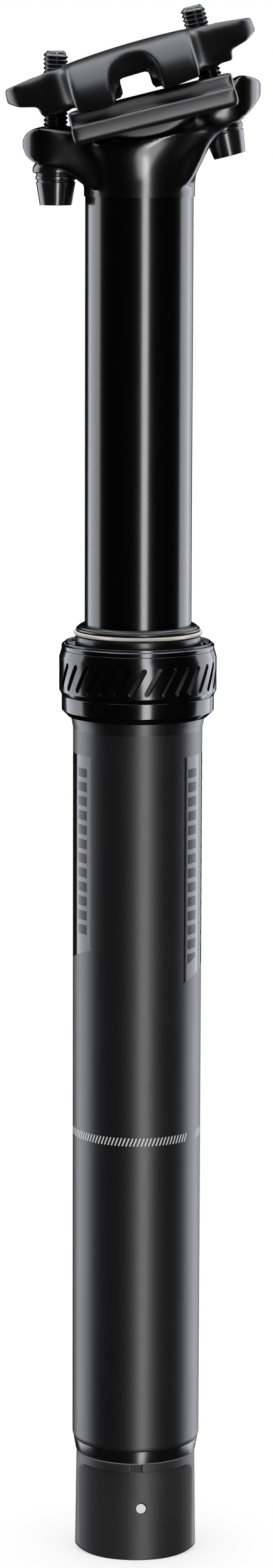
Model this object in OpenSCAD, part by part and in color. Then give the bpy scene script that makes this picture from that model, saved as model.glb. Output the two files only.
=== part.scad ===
// Cable-actuated telescoping bicycle seatpost, two-bolt saddle clamp.
// Millimetres. Z is the post's axis, up. X points to the back of the bicycle.
// The origin is on the axis at the insertion limit line.

/* [Outer tube] */
// Outside diameter of the tube that goes into the bicycle frame
tube_d = 30.9; // [30.4:0.1:31.6]
// Inside diameter of the outer tube
tube_bore_d = 27.8; // [27.6:0.1:28]
// Height of the insertion limit line above the foot
mark_h = 105; // [100:1:110]
// Height of the outer tube's lower end above the foot
tube_foot_h = 28; // [28:0.5:30]
// Height at which the outer tube starts to flare
flare_h = 203.4; // [202:0.1:204]
// Outside diameter above the flare
flare_d = 32; // [31.8:0.1:32.4]

/* [Stanchion] */
// Outside diameter of the sliding stanchion
stanchion_d = 25.4; // [25.4:0.1:25.4]
// Wall thickness of the stanchion
stanchion_wall = 1.4; // [1.2:0.1:1.6]
// Height of the stanchion's lower end above the foot
stanchion_foot_h = 137; // [137:0.5:138]
// Height of the joint between the stanchion and the head
head_h = 329; // [328:1:330]

/* [Seal collar] */
// Diameter of the slotted collar
collar_d = 37.5; // [37:0.1:38]
// Diameter of the plain ring under it
stop_ring_d = 36.3; // [36:0.1:36.6]
// Number of slanted grip slots
slot_count = 32; // [24:1:32]
// Lean of the grip slots
slot_lean = 30; // [20:1:35]
// Depth of the grip slots
slot_depth = 0.8; // [0.5:0.1:1]

/* [Saddle clamp] */
// Diameter of the saddle rails
rail_d = 7; // [7:0.1:7]
// Distance between the two rails
rail_spacing = 44; // [43:0.5:45]
// Overall width of the clamp
clamp_w = 55; // [54:0.5:56]
// Rise of the lower cradle towards the back, in degrees
cradle_tilt = 14; // [13:0.5:14.5]
// Rise of the upper clamp towards the back, in degrees
upper_tilt = 16.5; // [15.5:0.5:17]
// Radius of the round seat on which the clamp tilts
seat_r = 18.3; // [18:0.1:18.6]

/* [Actuator] */
// Height of the lever's pivot pin above the foot
pivot_h = 13.1; // [13:0.1:13.2]
// Offset of the pivot pin from the axis
pivot_x = 1.4; // [1.2:0.1:1.6]
// Diameter of the pivot pin
pivot_d = 2.4; // [2.3:0.1:2.4]
// Distance of the cable from the axis
cable_x = 9.1; // [9:0.1:9.2]
// Diameter of the socket for the cable's outer casing
cable_socket_d = 5.1; // [5:0.1:5.2]

/* [Hidden] */
$fn = 96;
hair = 0.05;
overlap = 1;

tube_r = tube_d / 2;
bore_r = tube_bore_d / 2;
flare_r = flare_d / 2;
spigot_top_h = 218.8;
bushing_seat_r = 14.2;
bushing_foot_h = 195;
stanchion_r = stanchion_d / 2;
stanchion_bore_r = stanchion_r - stanchion_wall;
slide_r = stanchion_r + hair;

// Anti-rotation keys and their grooves
key_count = 3;
key_w = 3;
key_h = 12;
key_foot_h = 153;
key_in_r = 11.8;
key_out_r = 14.35;
keyway_r = 14.5;

// Seal head at the top of the outer tube
collar_r = collar_d / 2;
stop_ring_r = stop_ring_d / 2;
thread_r = 15.9;
ring_foot_h = 206.2;
ring_top_h = ring_foot_h + 5.1;
collar_top_h = ring_top_h + 11;
retainer_top_h = collar_top_h + 1.7;
retainer_r = 18.2;
seal_r = 15;
seal_foot_h = collar_top_h - 2.4;
seal_top_h = retainer_top_h + 4.1;
garter_h = retainer_top_h + 2.2;
garter_r = 14.95;
garter_wire_r = 0.55;

// Gas spring cartridge
rod_r = 4;
rod_bore_r = 1.3;
rod_foot_h = 19;
piston_foot_h = 153;
piston_h = 6;
cylinder_r = 9.5;
cylinder_bore_r = 8.3;
cylinder_foot_h = 142;
cylinder_top_h = head_h - 11;
circlip_foot_h = 138.6;
float_foot_h = 270;
float_h = 8;
valve_pin_r = 1.25;
valve_tip_h = 16.2;

// Foot of the post
cap_foot_h = 24.7;
cap_top_h = 34;
cap_spigot_r = 12.5;
cap_spigot_foot_h = 18.7;
cap_plug_bore_r = 12.6;
cap_floor_top_h = 30;
housing_r = 15.3;
housing_top_r = 14.6;
housing_x = 14.75;
housing_top_x = 14.4;
cheek_r = 17.5;
cheek_y = 13.3;
cheek_top_h = 22.7;
lever_w = 4;
slot_w = 8;
window_w = 7.2;
lever_top = 3.05;
anchor_x = 7.6;
anchor_z = 2;
anchor_r = 2.2;

// Saddle clamp, in its own tilted frames
cradle_x = 2;
cradle_h = head_h + 22.4;
upper_x = 0.3;
upper_h = head_h + 22.2;
seat_u = -0.4;
seat_w = 9.6;
rail_r = rail_d / 2;
rail_y = rail_spacing / 2;
clamp_y = clamp_w / 2;
bar_in_y = 11.2;
bar_step_y = 16.4;
bar_foot_w = -6;
bar_lip_w = -1.35;
inner_lip_w = 1.5;
cradle_front_u = -18.8;
cradle_back_u = 20;
web_u = 10.6;
web_y = 14.8;
crown_w = 13.4;
crown_r = 197;
upper_rail_w = 0.8;
jaw_u = 15;
jaw_foot_w = 1.1;
tongue_u = 30;
tongue_y = 9.5;
nut_r = 4;
nut_y = 7.6;
nut_wall_y = 7.9;
front_nut_u = -18.5;
back_nut_u = 17;
nut_w = 7.4;

// Head forging
neck_r = 13;
neck_arc_r = 17.9;
neck_arc_h = 2;
head_y = 15;
head_lip_y = 18.6;
arm_y = 9.5;
arm_corner_r = 5;

// Clamp bolts: place of the seat and lean from the vertical
bolt_r = 2.75;
thread_clear = 0.35;
front_seat_x = -19.6;
front_seat_h = head_h + 6.9;
front_lean = 0;
front_bolt_l = 26.7;
back_seat_x = 18.8;
back_seat_h = head_h + 18.2;
back_lean = -14.8;
back_bolt_l = 26.6;
bolt_clear_r = 3.5;
washer_r = 5.4;
washer_h = 1.5;
dome_r = 6;
dome_drop = 2.9;
bolt_head_l = 7.5;
front_nut_shift = -0.15;

// ---- Frames and helpers ----

// Heights are counted from the foot; the origin is at the insertion line.
module from_foot(h = 0) {
    translate([0, 0, h - mark_h]) children();
}

module ring(out_r, in_r, h) {
    difference() {
        cylinder(r = out_r, h = h);
        translate([0, 0, -overlap]) cylinder(r = in_r, h = h + 2 * overlap);
    }
}

module o_ring(mid_r, wire_r) {
    rotate_extrude() translate([mid_r, 0]) circle(r = wire_r, $fn = 24);
}

module along_y(r, l) {
    rotate([90, 0, 0]) cylinder(r = r, h = l, center = true);
}

// A flat outline in X and Z, made into a slab centred on Y.
module side_slab(w) {
    rotate([90, 0, 0]) linear_extrude(height = w, center = true) children();
}

// A flat outline in Y and Z, made into a bar along X.
module cross_bar(x0, x1) {
    translate([x0, 0, 0]) rotate([90, 0, 90]) linear_extrude(height = x1 - x0) children();
}

module stadium(l, r) {
    square([l, 2 * r], center = true);
    for (s = [-1, 1]) translate([s * l / 2, 0]) circle(r = r, $fn = 32);
}

module cradle_frame() {
    from_foot(cradle_h) translate([cradle_x, 0, 0]) rotate([0, -cradle_tilt, 0]) children();
}

module upper_frame() {
    from_foot(upper_h) translate([upper_x, 0, 0]) rotate([0, -upper_tilt, 0]) children();
}

module bolt_frame(x, h, lean) {
    from_foot(h) translate([x, 0, 0]) rotate([0, lean, 0]) children();
}

module keyways(in_r, out_r, w, h) {
    for (i = [0:key_count - 1])
        rotate([0, 0, 90 + i * 360 / key_count])
            translate([in_r, -w / 2, 0]) cube([out_r - in_r, w, h]);
}

// ---- Outer tube and seal head ----

module outer_tube() {
    chamfer = 0.25;
    color("#26262a") from_foot() difference() {
        union() {
            translate([0, 0, tube_foot_h])
                cylinder(r1 = tube_r - chamfer, r2 = tube_r, h = overlap);
            translate([0, 0, tube_foot_h + overlap])
                cylinder(r = tube_r, h = flare_h - tube_foot_h - overlap);
            translate([0, 0, flare_h])
                cylinder(r1 = tube_r, r2 = flare_r, h = ring_foot_h - flare_h);
            translate([0, 0, ring_foot_h])
                cylinder(r = thread_r, h = spigot_top_h - ring_foot_h);
        }
        translate([0, 0, tube_foot_h - overlap])
            cylinder(r = bore_r, h = spigot_top_h);
        translate([0, 0, bushing_foot_h])
            cylinder(r = bushing_seat_r, h = spigot_top_h);
        translate([0, 0, cap_top_h])
            keyways(bore_r - overlap, keyway_r, key_w + 2 * hair, bushing_foot_h - cap_top_h);
    }
}

module stop_ring() {
    chamfer = 1.5;
    color("#17171a") from_foot() difference() {
        union() {
            translate([0, 0, ring_foot_h])
                cylinder(r1 = stop_ring_r - chamfer, r2 = stop_ring_r, h = chamfer);
            translate([0, 0, ring_foot_h + chamfer])
                cylinder(r = stop_ring_r, h = ring_top_h - ring_foot_h - chamfer);
        }
        translate([0, 0, ring_foot_h - overlap]) cylinder(r = thread_r, h = 10);
    }
}

module grip_slots() {
    slot_l = 6.2;
    slot_r = 0.62;
    mid_h = ring_top_h + 5.15;
    for (i = [0:slot_count - 1])
        rotate([0, 0, i * 360 / slot_count])
            translate([collar_r - slot_depth, 0, mid_h])
                rotate([90, 0, 90])
                    rotate([0, 0, 90 - slot_lean])
                        linear_extrude(height = 2 * slot_depth) stadium(slot_l, slot_r);
}

module seal_collar() {
    foot_chamfer = 1.2;
    grip_top_h = ring_top_h + 9.1;
    lip_foot_h = ring_top_h + 8.5;
    color("#17171a") from_foot() difference() {
        union() {
            translate([0, 0, ring_top_h])
                cylinder(r1 = stop_ring_r, r2 = collar_r, h = foot_chamfer);
            translate([0, 0, ring_top_h + foot_chamfer])
                cylinder(r = collar_r, h = grip_top_h - ring_top_h - foot_chamfer);
            translate([0, 0, grip_top_h])
                cylinder(r1 = collar_r, r2 = retainer_r, h = collar_top_h - grip_top_h);
        }
        translate([0, 0, ring_top_h - overlap])
            cylinder(r = thread_r, h = lip_foot_h - ring_top_h + overlap);
        cylinder(r = seal_r, h = collar_top_h + overlap);
        grip_slots();
    }
}

module seal_retainer() {
    color("#1b1b1f") from_foot(collar_top_h)
        ring(retainer_r, seal_r, retainer_top_h - collar_top_h);
}

// Rubber wiper: a foot inside the collar, a groove for the spring and a lip.
module wiper_seal() {
    groove_r = garter_wire_r + 0.02;
    lip_r = 14.8;
    mouth_r = 13.9;
    color("#141416") from_foot() rotate_extrude() difference() {
        polygon([
            [slide_r, seal_foot_h], [seal_r, seal_foot_h], [seal_r, garter_h - 1.5],
            [garter_r, garter_h - 1], [lip_r, garter_h + 0.8],
            [mouth_r, seal_top_h], [slide_r, seal_top_h]
        ]);
        translate([garter_r, garter_h]) circle(r = groove_r, $fn = 24);
    }
}

module garter_spring() {
    color("#d8d2c4") from_foot(garter_h) o_ring(garter_r, garter_wire_r);
}

module inner_seal() {
    wire_r = 0.7;
    color("#101012") from_foot(spigot_top_h - 1) o_ring(slide_r + wire_r, wire_r);
}

module split_bushing(in_r, out_r, h) {
    split = 1.2;
    difference() {
        ring(out_r, in_r, h);
        translate([0, -split / 2, -overlap]) cube([out_r + overlap, split, h + 2 * overlap]);
    }
}

module top_bushing() {
    color("#3d4a3f") from_foot(bushing_foot_h)
        split_bushing(slide_r, bushing_seat_r, 16);
}

// ---- Foot of the post ----

module end_cap() {
    rim_r = 14.6;
    rim_top_r = tube_r - 0.25;
    spigot_bore_r = 10.5;
    tab_w = 2.4;
    color("#1c1c20") from_foot() difference() {
        union() {
            translate([0, 0, cap_foot_h])
                cylinder(r1 = rim_r, r2 = rim_top_r, h = tube_foot_h - cap_foot_h);
            translate([0, 0, tube_foot_h]) cylinder(r = bore_r, h = cap_top_h - tube_foot_h);
            translate([0, 0, cap_spigot_foot_h])
                cylinder(r = cap_spigot_r, h = cap_foot_h - cap_spigot_foot_h + overlap);
            translate([0.2, -housing_top_r + 1.5, (cheek_top_h + cap_foot_h) / 2])
                cube([tab_w, 3, cap_foot_h - cheek_top_h], center = true);
        }
        translate([0, 0, cap_floor_top_h]) cylinder(r = cap_plug_bore_r, h = cap_top_h);
        translate([0, 0, cap_spigot_foot_h - overlap])
            cylinder(r = spigot_bore_r, h = cap_foot_h - cap_spigot_foot_h + overlap);
        translate([0, 0, cap_spigot_foot_h]) cylinder(r = rod_r, h = cap_top_h);
    }
}

module bottom_bumper() {
    color("#2b2b2e") from_foot(cap_floor_top_h) ring(cap_plug_bore_r, rod_r + 1, 5.6);
}

// Outline of the two flattened cheeks that carry the pivot pin.
module cheek_cut() {
    for (s = [-1, 1]) scale([1, s, 1]) difference() {
        translate([-20, 0, -overlap]) cube([40, 20, cheek_top_h + overlap]);
        translate([0, cheek_y - cheek_r, -2 * overlap])
            cylinder(r = cheek_r, h = cheek_top_h + 3 * overlap);
    }
}

module actuator_housing() {
    fillet = 2;
    floor_h = 3;
    stop_h = 7.4;
    stop_x = 5;
    slot_front_x = -10.5;
    window_top_h = 20;
    slot_end_x = 13.45;
    tab_w = 2.5;
    color("#202022") from_foot() difference() {
        intersection() {
            rotate_extrude() union() {
                square([housing_r - fillet, fillet + hair]);
                translate([housing_r - fillet, fillet]) intersection() {
                    circle(r = fillet);
                    translate([-hair, -fillet]) square([fillet + hair, fillet + hair]);
                }
                polygon([
                    [0, fillet], [housing_r, fillet], [housing_r, cheek_top_h - 1.4],
                    [housing_r - 0.3, cheek_top_h + 0.2], [housing_top_r, cap_foot_h],
                    [0, cap_foot_h]
                ]);
            }
            side_slab(40) polygon([
                [-housing_x, -1], [housing_x, -1],
                [housing_top_x, cap_foot_h + 1], [-housing_top_x, cap_foot_h + 1]
            ]);
        }
        cheek_cut();
        translate([0, 0, cap_spigot_foot_h]) cylinder(r = cap_spigot_r, h = cap_foot_h);
        translate([0.2, -housing_top_r, cheek_top_h + 5])
            cube([tab_w, 6, 10], center = true);
        translate([slot_front_x, -slot_w / 2, floor_h])
            cube([stop_x - slot_front_x, slot_w, cap_spigot_foot_h - floor_h + overlap]);
        translate([stop_x - overlap, -slot_w / 2, stop_h])
            cube([slot_end_x - stop_x, slot_w, cap_spigot_foot_h - stop_h + overlap]);
        translate([stop_x, -window_w / 2, stop_h])
            cube([20, window_w, window_top_h - stop_h]);
        translate([pivot_x, 0, pivot_h]) along_y(pivot_d / 2, 40);
        translate([cable_x, 0, -overlap]) cylinder(r = cable_socket_d / 2, h = 5.6 + overlap);
        translate([cable_x, 0, 0]) cylinder(r = 1, h = 10);
    }
}

module pivot_pin() {
    recess = 0.15;
    color("#e4e4e8") from_foot(pivot_h) translate([pivot_x, 0, 0])
        along_y(pivot_d / 2, 2 * (cheek_y - recess));
}

module rod_nut() {
    across = 14;
    h = 4.2;
    color("#b4b4ba") from_foot(cap_foot_h - h) difference() {
        cylinder(d = across / cos(30), h = h, $fn = 6);
        translate([0, 0, -overlap]) cylinder(r = rod_r, h = h + 2 * overlap);
    }
}

// ---- Gas spring, the part that stays with the foot ----

module gas_rod() {
    color("#c9c9cf") from_foot(rod_foot_h)
        ring(rod_r, rod_bore_r, piston_foot_h - rod_foot_h);
}

module gas_piston() {
    groove_depth = 1;
    groove_h = 2;
    color("#9a9aa2") from_foot(piston_foot_h) difference() {
        ring(cylinder_bore_r - hair, rod_bore_r, piston_h);
        translate([0, 0, (piston_h - groove_h) / 2])
            ring(cylinder_bore_r + overlap, cylinder_bore_r - groove_depth, groove_h);
    }
}

module piston_ring() {
    color("#111113") from_foot(piston_foot_h + 2)
        ring(cylinder_bore_r - hair, cylinder_bore_r - 1, 2);
}

module valve_pin() {
    poppet_r = 2.4;
    poppet_h = 1.5;
    seat_h = piston_foot_h + piston_h + hair;
    color("#d0d0d6") from_foot() union() {
        translate([0, 0, valve_tip_h + valve_pin_r]) {
            sphere(r = valve_pin_r, $fn = 32);
            cylinder(r = valve_pin_r, h = seat_h - valve_tip_h - valve_pin_r + overlap / 2);
        }
        translate([0, 0, seat_h]) cylinder(r = poppet_r, h = poppet_h);
    }
}

// ---- Stanchion and what rides in it ----

module stanchion() {
    color("#08080a") from_foot() difference() {
        translate([0, 0, stanchion_foot_h])
            ring(stanchion_r, stanchion_bore_r, head_h - stanchion_foot_h);
        translate([0, 0, key_foot_h])
            keyways(key_in_r, keyway_r, key_w, key_h);
        translate([0, 0, circlip_foot_h]) cylinder(r = stanchion_bore_r + 0.5, h = 1.2);
    }
}

module guide_keys() {
    color("#b08d4a") from_foot(key_foot_h) keyways(key_in_r, key_out_r, key_w, key_h);
}

module lower_bushing() {
    color("#3d4a3f") from_foot(139) split_bushing(stanchion_r, bore_r - hair, 12);
}

module cylinder_circlip() {
    gap_w = 6;
    color("#8c8c92") from_foot(circlip_foot_h) difference() {
        ring(stanchion_bore_r + 0.5, stanchion_bore_r - 1.1, 1.2);
        translate([0, -gap_w / 2, -overlap]) cube([20, gap_w, 4]);
    }
}

module rod_seal_head() {
    plug_h = 8;
    flange_foot_h = circlip_foot_h + 1.2;
    color("#a9a9b0") from_foot() difference() {
        union() {
            translate([0, 0, flange_foot_h])
                cylinder(r = stanchion_bore_r, h = cylinder_foot_h - flange_foot_h);
            translate([0, 0, cylinder_foot_h]) cylinder(r = cylinder_bore_r, h = plug_h);
        }
        translate([0, 0, flange_foot_h - overlap]) cylinder(r = rod_r + hair, h = 20);
        translate([0, 0, 145]) cylinder(r = rod_r + 1.2, h = 2.4);
    }
}

module rod_seal() {
    color("#111113") from_foot(145) ring(rod_r + 1.2, rod_r + hair, 2.4);
}

module top_out_bumper() {
    color("#2b2b2e") from_foot(150) ring(cylinder_bore_r - 0.4, rod_r + 0.3, 2.7);
}

module gas_cylinder() {
    color("#8f8f96") from_foot(cylinder_foot_h)
        ring(cylinder_r, cylinder_bore_r, cylinder_top_h - cylinder_foot_h);
}

module cylinder_cap() {
    cap_h = 7;
    fill_d = 4;
    color("#a9a9b0") from_foot(cylinder_top_h - cap_h) difference() {
        cylinder(r = cylinder_bore_r, h = cap_h);
        translate([0, 0, cap_h - 4]) cylinder(d = fill_d, h = 5, $fn = 6);
    }
}

module floating_piston() {
    groove_h = 2;
    color("#9a9aa2") from_foot(float_foot_h) difference() {
        cylinder(r = cylinder_bore_r - hair, h = float_h);
        translate([0, 0, (float_h - groove_h) / 2])
            ring(cylinder_bore_r + overlap, cylinder_bore_r - 1, groove_h);
        translate([0, 0, float_h - 4]) cylinder(r = 5, h = 5);
    }
}

module floating_piston_ring() {
    color("#111113") from_foot(float_foot_h + 3)
        ring(cylinder_bore_r - hair, cylinder_bore_r - 1, 2);
}

// ---- Head forging ----

// Side view of both arms above the head joint, front at negative X.
module arm_outline() {
    polygon([
        [neck_r, 0], [neck_r, neck_arc_h],
        [13.9, 6.6], [15.9, 11.4], [19.5, 15.8], [24.4, 18.7], [26.8, 21.5],
        [28.9, 24.9], [28.4, 26.3], [25.8, 27.7], [22.3, 27.9], [15.2, 22.6],
        [-10.6, 16.2], [-21.5, 16.2], [-25.2, 15.3], [-26.9, 13.7], [-27.2, 11.5],
        [-25.6, 8.4], [-23.5, 7.2], [-17.5, 6.4], [-14.6, 4.2],
        [-neck_r, neck_arc_h - 1], [-neck_r, 0]
    ]);
}

// Plan view of the arms: round tips of the arms' own width.
module arm_plan() {
    reach = 29;
    for (s = [-1, 1]) {
        translate([s * (reach - arm_corner_r) / 2, 0])
            square([reach - arm_corner_r, 2 * arm_y], center = true);
        translate([s * reach / 2, 0])
            square([reach, 2 * (arm_y - arm_corner_r)], center = true);
        for (t = [-1, 1])
            translate([s * (reach - arm_corner_r), t * (arm_y - arm_corner_r)])
                circle(r = arm_corner_r);
    }
    circle(r = neck_r);
}

// Round neck that spreads like a trumpet below the seat of the cradle.
module neck() {
    reach = 24.4;
    rise = 20;
    seat_top_w = -6.5;
    lip_top_w = -8.6;
    intersection() {
        from_foot(head_h) rotate_extrude() difference() {
            square([reach, rise]);
            translate([neck_r + neck_arc_r, neck_arc_h]) circle(r = neck_arc_r);
            translate([neck_r, -overlap]) square([reach, neck_arc_h + overlap]);
        }
        from_foot(head_h - overlap) translate([-17, -head_lip_y, 0]) cube([34, 2 * head_lip_y, 40]);
        cradle_frame() {
            translate([-40, -head_y, -60]) cube([80, 2 * head_y, 60 + seat_top_w]);
            translate([-40, -head_lip_y, -60]) cube([80, 2 * head_lip_y, 60 + lip_top_w]);
        }
    }
}

// A slotted hole for the bolt, a round seat for its washer, room for its head.
module head_bolt_hole(x, h, lean) {
    swing = 1.2;
    bolt_frame(x, h, lean) {
        linear_extrude(height = 30) stadium(swing, bolt_clear_r);
        translate([0, 0, -dome_drop]) sphere(r = dome_r + 2 * hair);
        translate([0, 0, -30]) cylinder(r = washer_r + 0.4, h = 30);
    }
}

module head() {
    spigot_foot_h = head_h - 14;
    spigot_bore_r = 6;
    color("#0b0b0d") difference() {
        union() {
            neck();
            intersection() {
                from_foot(head_h) side_slab(2 * arm_y) arm_outline();
                from_foot(head_h) linear_extrude(height = 40) arm_plan();
            }
            from_foot(spigot_foot_h) cylinder(r = stanchion_bore_r, h = head_h - spigot_foot_h + overlap);
        }
        cradle_frame() translate([seat_u, 0, seat_w]) along_y(seat_r, 60);
        head_bolt_hole(front_seat_x, front_seat_h, front_lean);
        head_bolt_hole(back_seat_x, back_seat_h, back_lean);
        from_foot(spigot_foot_h - overlap) cylinder(r = cylinder_r, h = 4);
        from_foot(spigot_foot_h) cylinder(r = spigot_bore_r, h = 18);
    }
}

// ---- Saddle clamp ----

// Cross-section of one side bar of the cradle, in Y and height.
module bar_section() {
    polygon([
        [bar_in_y, -3.5], [bar_step_y, -3.5], [bar_step_y, bar_foot_w],
        [clamp_y - 1.5, bar_foot_w], [clamp_y - 0.4, bar_foot_w + 0.6],
        [clamp_y, bar_foot_w + 1.8], [clamp_y, bar_lip_w - 0.5],
        [clamp_y - 0.5, bar_lip_w], [rail_y, bar_lip_w], [rail_y, 0],
        [rail_y - rail_r, inner_lip_w], [bar_in_y, inner_lip_w]
    ]);
}

module rail_channels(w) {
    for (s = [-1, 1])
        translate([-50, s * rail_y, w]) rotate([0, 90, 0]) cylinder(r = rail_r, h = 100);
}

module lower_cradle() {
    seat_clear = 0.1;
    color("#1d1d20") cradle_frame() difference() {
        union() {
            cross_bar(cradle_front_u, cradle_back_u) for (s = [0, 1]) mirror([s, 0]) bar_section();
            intersection() {
                translate([seat_u, 0, seat_w]) along_y(seat_r - seat_clear, 2 * web_y);
                translate([-web_u, -web_y, -12]) cube([2 * web_u, 2 * web_y, 12 + inner_lip_w]);
            }
        }
        rail_channels(0);
    }
}

// Side view of the upper clamp without its jaws.
module crown_outline() {
    intersection() {
        polygon([
            [-tongue_u, 8], [-27.5, 6.4], [-23.4, 5.3], [-23, 3], [23, 3],
            [23.4, 5.3], [27.5, 6.4], [tongue_u, 8], [tongue_u - 0.6, 14], [-tongue_u + 0.6, 14]
        ]);
        translate([0, crown_w - crown_r]) circle(r = crown_r, $fn = 360);
    }
}

module jaw_outline() {
    intersection() {
        translate([-jaw_u, jaw_foot_w]) square([2 * jaw_u, crown_w]);
        translate([0, crown_w - crown_r]) circle(r = crown_r, $fn = 360);
    }
}

// Plan view: two wide jaws, a narrow tongue at each end, hollow corners.
module upper_plan() {
    hollow_r = 6;
    tip_r = 6;
    square([2 * jaw_u, clamp_w], center = true);
    for (s = [-1, 1], t = [-1, 1]) {
        translate([s * (tongue_u - tip_r), t * (tongue_y - tip_r)]) circle(r = tip_r);
        translate([s * jaw_u, t * tongue_y]) scale([s, t]) difference() {
            square(hollow_r);
            translate([hollow_r, hollow_r]) circle(r = hollow_r);
        }
    }
    square([2 * (tongue_u - tip_r), 2 * tongue_y], center = true);
    square([2 * tongue_u, 2 * (tongue_y - tip_r)], center = true);
}

// Cross-section limit: a flat crown that rounds down to the jaws' outer faces.
module shoulder_section() {
    shoulder_r = 11;
    difference() {
        translate([-clamp_y, -1]) square([clamp_w, crown_w + 2]);
        for (s = [-1, 1]) translate([s * (clamp_y - shoulder_r), crown_w - shoulder_r])
            scale([s, 1]) difference() {
                square(shoulder_r + 2);
                circle(r = shoulder_r);
            }
    }
}

module side_notches() {
    notch_r = 6;
    arch_u = 3.6;
    arch_top_w = 6.2;
    for (s = [-1, 1])
        translate([0, s * (clamp_y + 0.8), -overlap]) cylinder(r = notch_r, h = 20);
    translate([-arch_u, -clamp_y - overlap, -overlap])
        cube([2 * arch_u, clamp_w + 2 * overlap, arch_top_w + overlap]);
}

// Round trough for a cross nut, open at the top.
module nut_seat(u) {
    seat = nut_r + hair;
    translate([u, 0, nut_w]) along_y(seat, 2 * nut_wall_y);
    translate([u - seat, -nut_wall_y, nut_w]) cube([2 * seat, 2 * nut_wall_y, crown_w]);
}

module upper_bolt_hole(x, h, lean) {
    swing = 2.6;
    bolt_frame(x, h, lean) linear_extrude(height = 40) stadium(swing, bolt_clear_r - 0.1);
}

module upper_clamp() {
    boss_r = 5.3;
    inner_foot_w = 2.4;
    color("#1d1d20") difference() {
        upper_frame() difference() {
            intersection() {
                union() {
                    side_slab(clamp_w) crown_outline();
                    side_slab(clamp_w) jaw_outline();
                    for (u = [front_nut_u, back_nut_u])
                        translate([u, 0, nut_w]) along_y(boss_r, 2 * tongue_y);
                }
                translate([0, 0, -5]) linear_extrude(height = 30) upper_plan();
                cross_bar(-40, 40) shoulder_section();
            }
            rail_channels(upper_rail_w);
            translate([-40, rail_r - rail_y, -10])
                cube([80, 2 * (rail_y - rail_r), 10 + inner_foot_w]);
            side_notches();
            nut_seat(front_nut_u);
            nut_seat(back_nut_u);
        }
        upper_bolt_hole(front_seat_x, front_seat_h, front_lean);
        upper_bolt_hole(back_seat_x, back_seat_h, back_lean);
    }
}

module barrel_nut(u, x, h, lean) {
    color("#a6a6ad") difference() {
        upper_frame() translate([u, 0, nut_w]) along_y(nut_r, 2 * nut_y);
        bolt_frame(x, h, lean) cylinder(r = bolt_r + thread_clear, h = 60);
    }
}

module front_barrel_nut() {
    barrel_nut(front_nut_u, front_seat_x + front_nut_shift, front_seat_h, front_lean);
}

module rear_barrel_nut() {
    barrel_nut(back_nut_u, back_seat_x, back_seat_h, back_lean);
}

// Socket-head bolt with a tapered head, its seat at the frame's origin.
module clamp_bolt(l) {
    tip = 0.6;
    taper_l = 5.9;
    head_foot_r = 3.75;
    head_r = 4.75;
    socket = 5;
    translate([0, 0, -washer_h]) difference() {
        union() {
            translate([0, 0, -bolt_head_l]) cylinder(r1 = head_foot_r, r2 = head_r, h = taper_l);
            translate([0, 0, taper_l - bolt_head_l]) cylinder(r = head_r, h = bolt_head_l - taper_l);
            translate([0, 0, -hair]) cylinder(r = bolt_r, h = l + washer_h + hair - tip);
            translate([0, 0, l + washer_h - tip]) cylinder(r1 = bolt_r, r2 = bolt_r - tip, h = tip);
        }
        translate([0, 0, -bolt_head_l - overlap])
            cylinder(d = socket / cos(30), h = 4.5, $fn = 6);
    }
}

module front_bolt() {
    color("#161618") bolt_frame(front_seat_x, front_seat_h, front_lean) clamp_bolt(front_bolt_l);
}

module rear_bolt() {
    color("#161618") bolt_frame(back_seat_x, back_seat_h, back_lean) clamp_bolt(back_bolt_l);
}

// Washer with a flat foot and a domed top, which swivels in the head's round seat.
module seat_washer() {
    difference() {
        intersection() {
            translate([0, 0, -dome_drop]) sphere(r = dome_r);
            translate([0, 0, -washer_h]) cylinder(r = washer_r, h = 10);
        }
        cylinder(r = bolt_r, h = 40, center = true);
    }
}

module front_washer() {
    color("#1f1f22") bolt_frame(front_seat_x, front_seat_h, front_lean) seat_washer();
}

module rear_washer() {
    color("#1f1f22") bolt_frame(back_seat_x, back_seat_h, back_lean) seat_washer();
}

// ---- Actuator ----

module lever_frame() {
    from_foot(pivot_h) translate([pivot_x, 0, 0]) children();
}

// Side view of the lever: hub, push pad in front and cable arm behind.
module lever_outline() {
    hub_r = 2.6;
    arm_r = 3.1;
    pad_front_x = -4.2;
    circle(r = hub_r, $fn = 48);
    polygon([
        [pad_front_x, lever_top], [pad_front_x, lever_top - 1.6],
        [-1.4, -1.8], [1.8, -1.8], [anchor_x, anchor_z - arm_r], [anchor_x, anchor_z + 1.4],
        [3.4, 1.2], [1.6, lever_top]
    ]);
    translate([anchor_x, anchor_z]) circle(r = arm_r, $fn = 48);
}

module actuator_lever() {
    color("#2e2e33") lever_frame() difference() {
        side_slab(lever_w) lever_outline();
        along_y(pivot_d / 2 + hair, 10);
        translate([anchor_x, 0, anchor_z]) along_y(anchor_r, 10);
        translate([anchor_x, 0, anchor_z - 10]) cylinder(r = 1, h = 20);
        translate([anchor_x, 0, anchor_z]) rotate([0, 90, 0]) cylinder(r = 1, h = 10);
    }
}

module cable_anchor() {
    color("#c0a468") lever_frame() translate([anchor_x, 0, anchor_z]) difference() {
        along_y(anchor_r, 6);
        cylinder(r = 0.8, h = 10, center = true);
        rotate([0, 90, 0]) cylinder(r = 1, h = 10);
    }
}

module anchor_screw() {
    length = 1.9;
    color("#39393d") lever_frame() translate([anchor_x + 0.9, 0, anchor_z])
        rotate([0, 90, 0]) difference() {
            cylinder(r = 1, h = length);
            translate([0, 0, length - 0.8]) cylinder(d = 1, h = 1, $fn = 6);
        }
}

// Torsion spring round the pivot, on the lever's far side.
function coil_point(a, r, pitch) = [r * cos(a), pitch * a / 360, r * sin(a)];

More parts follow.
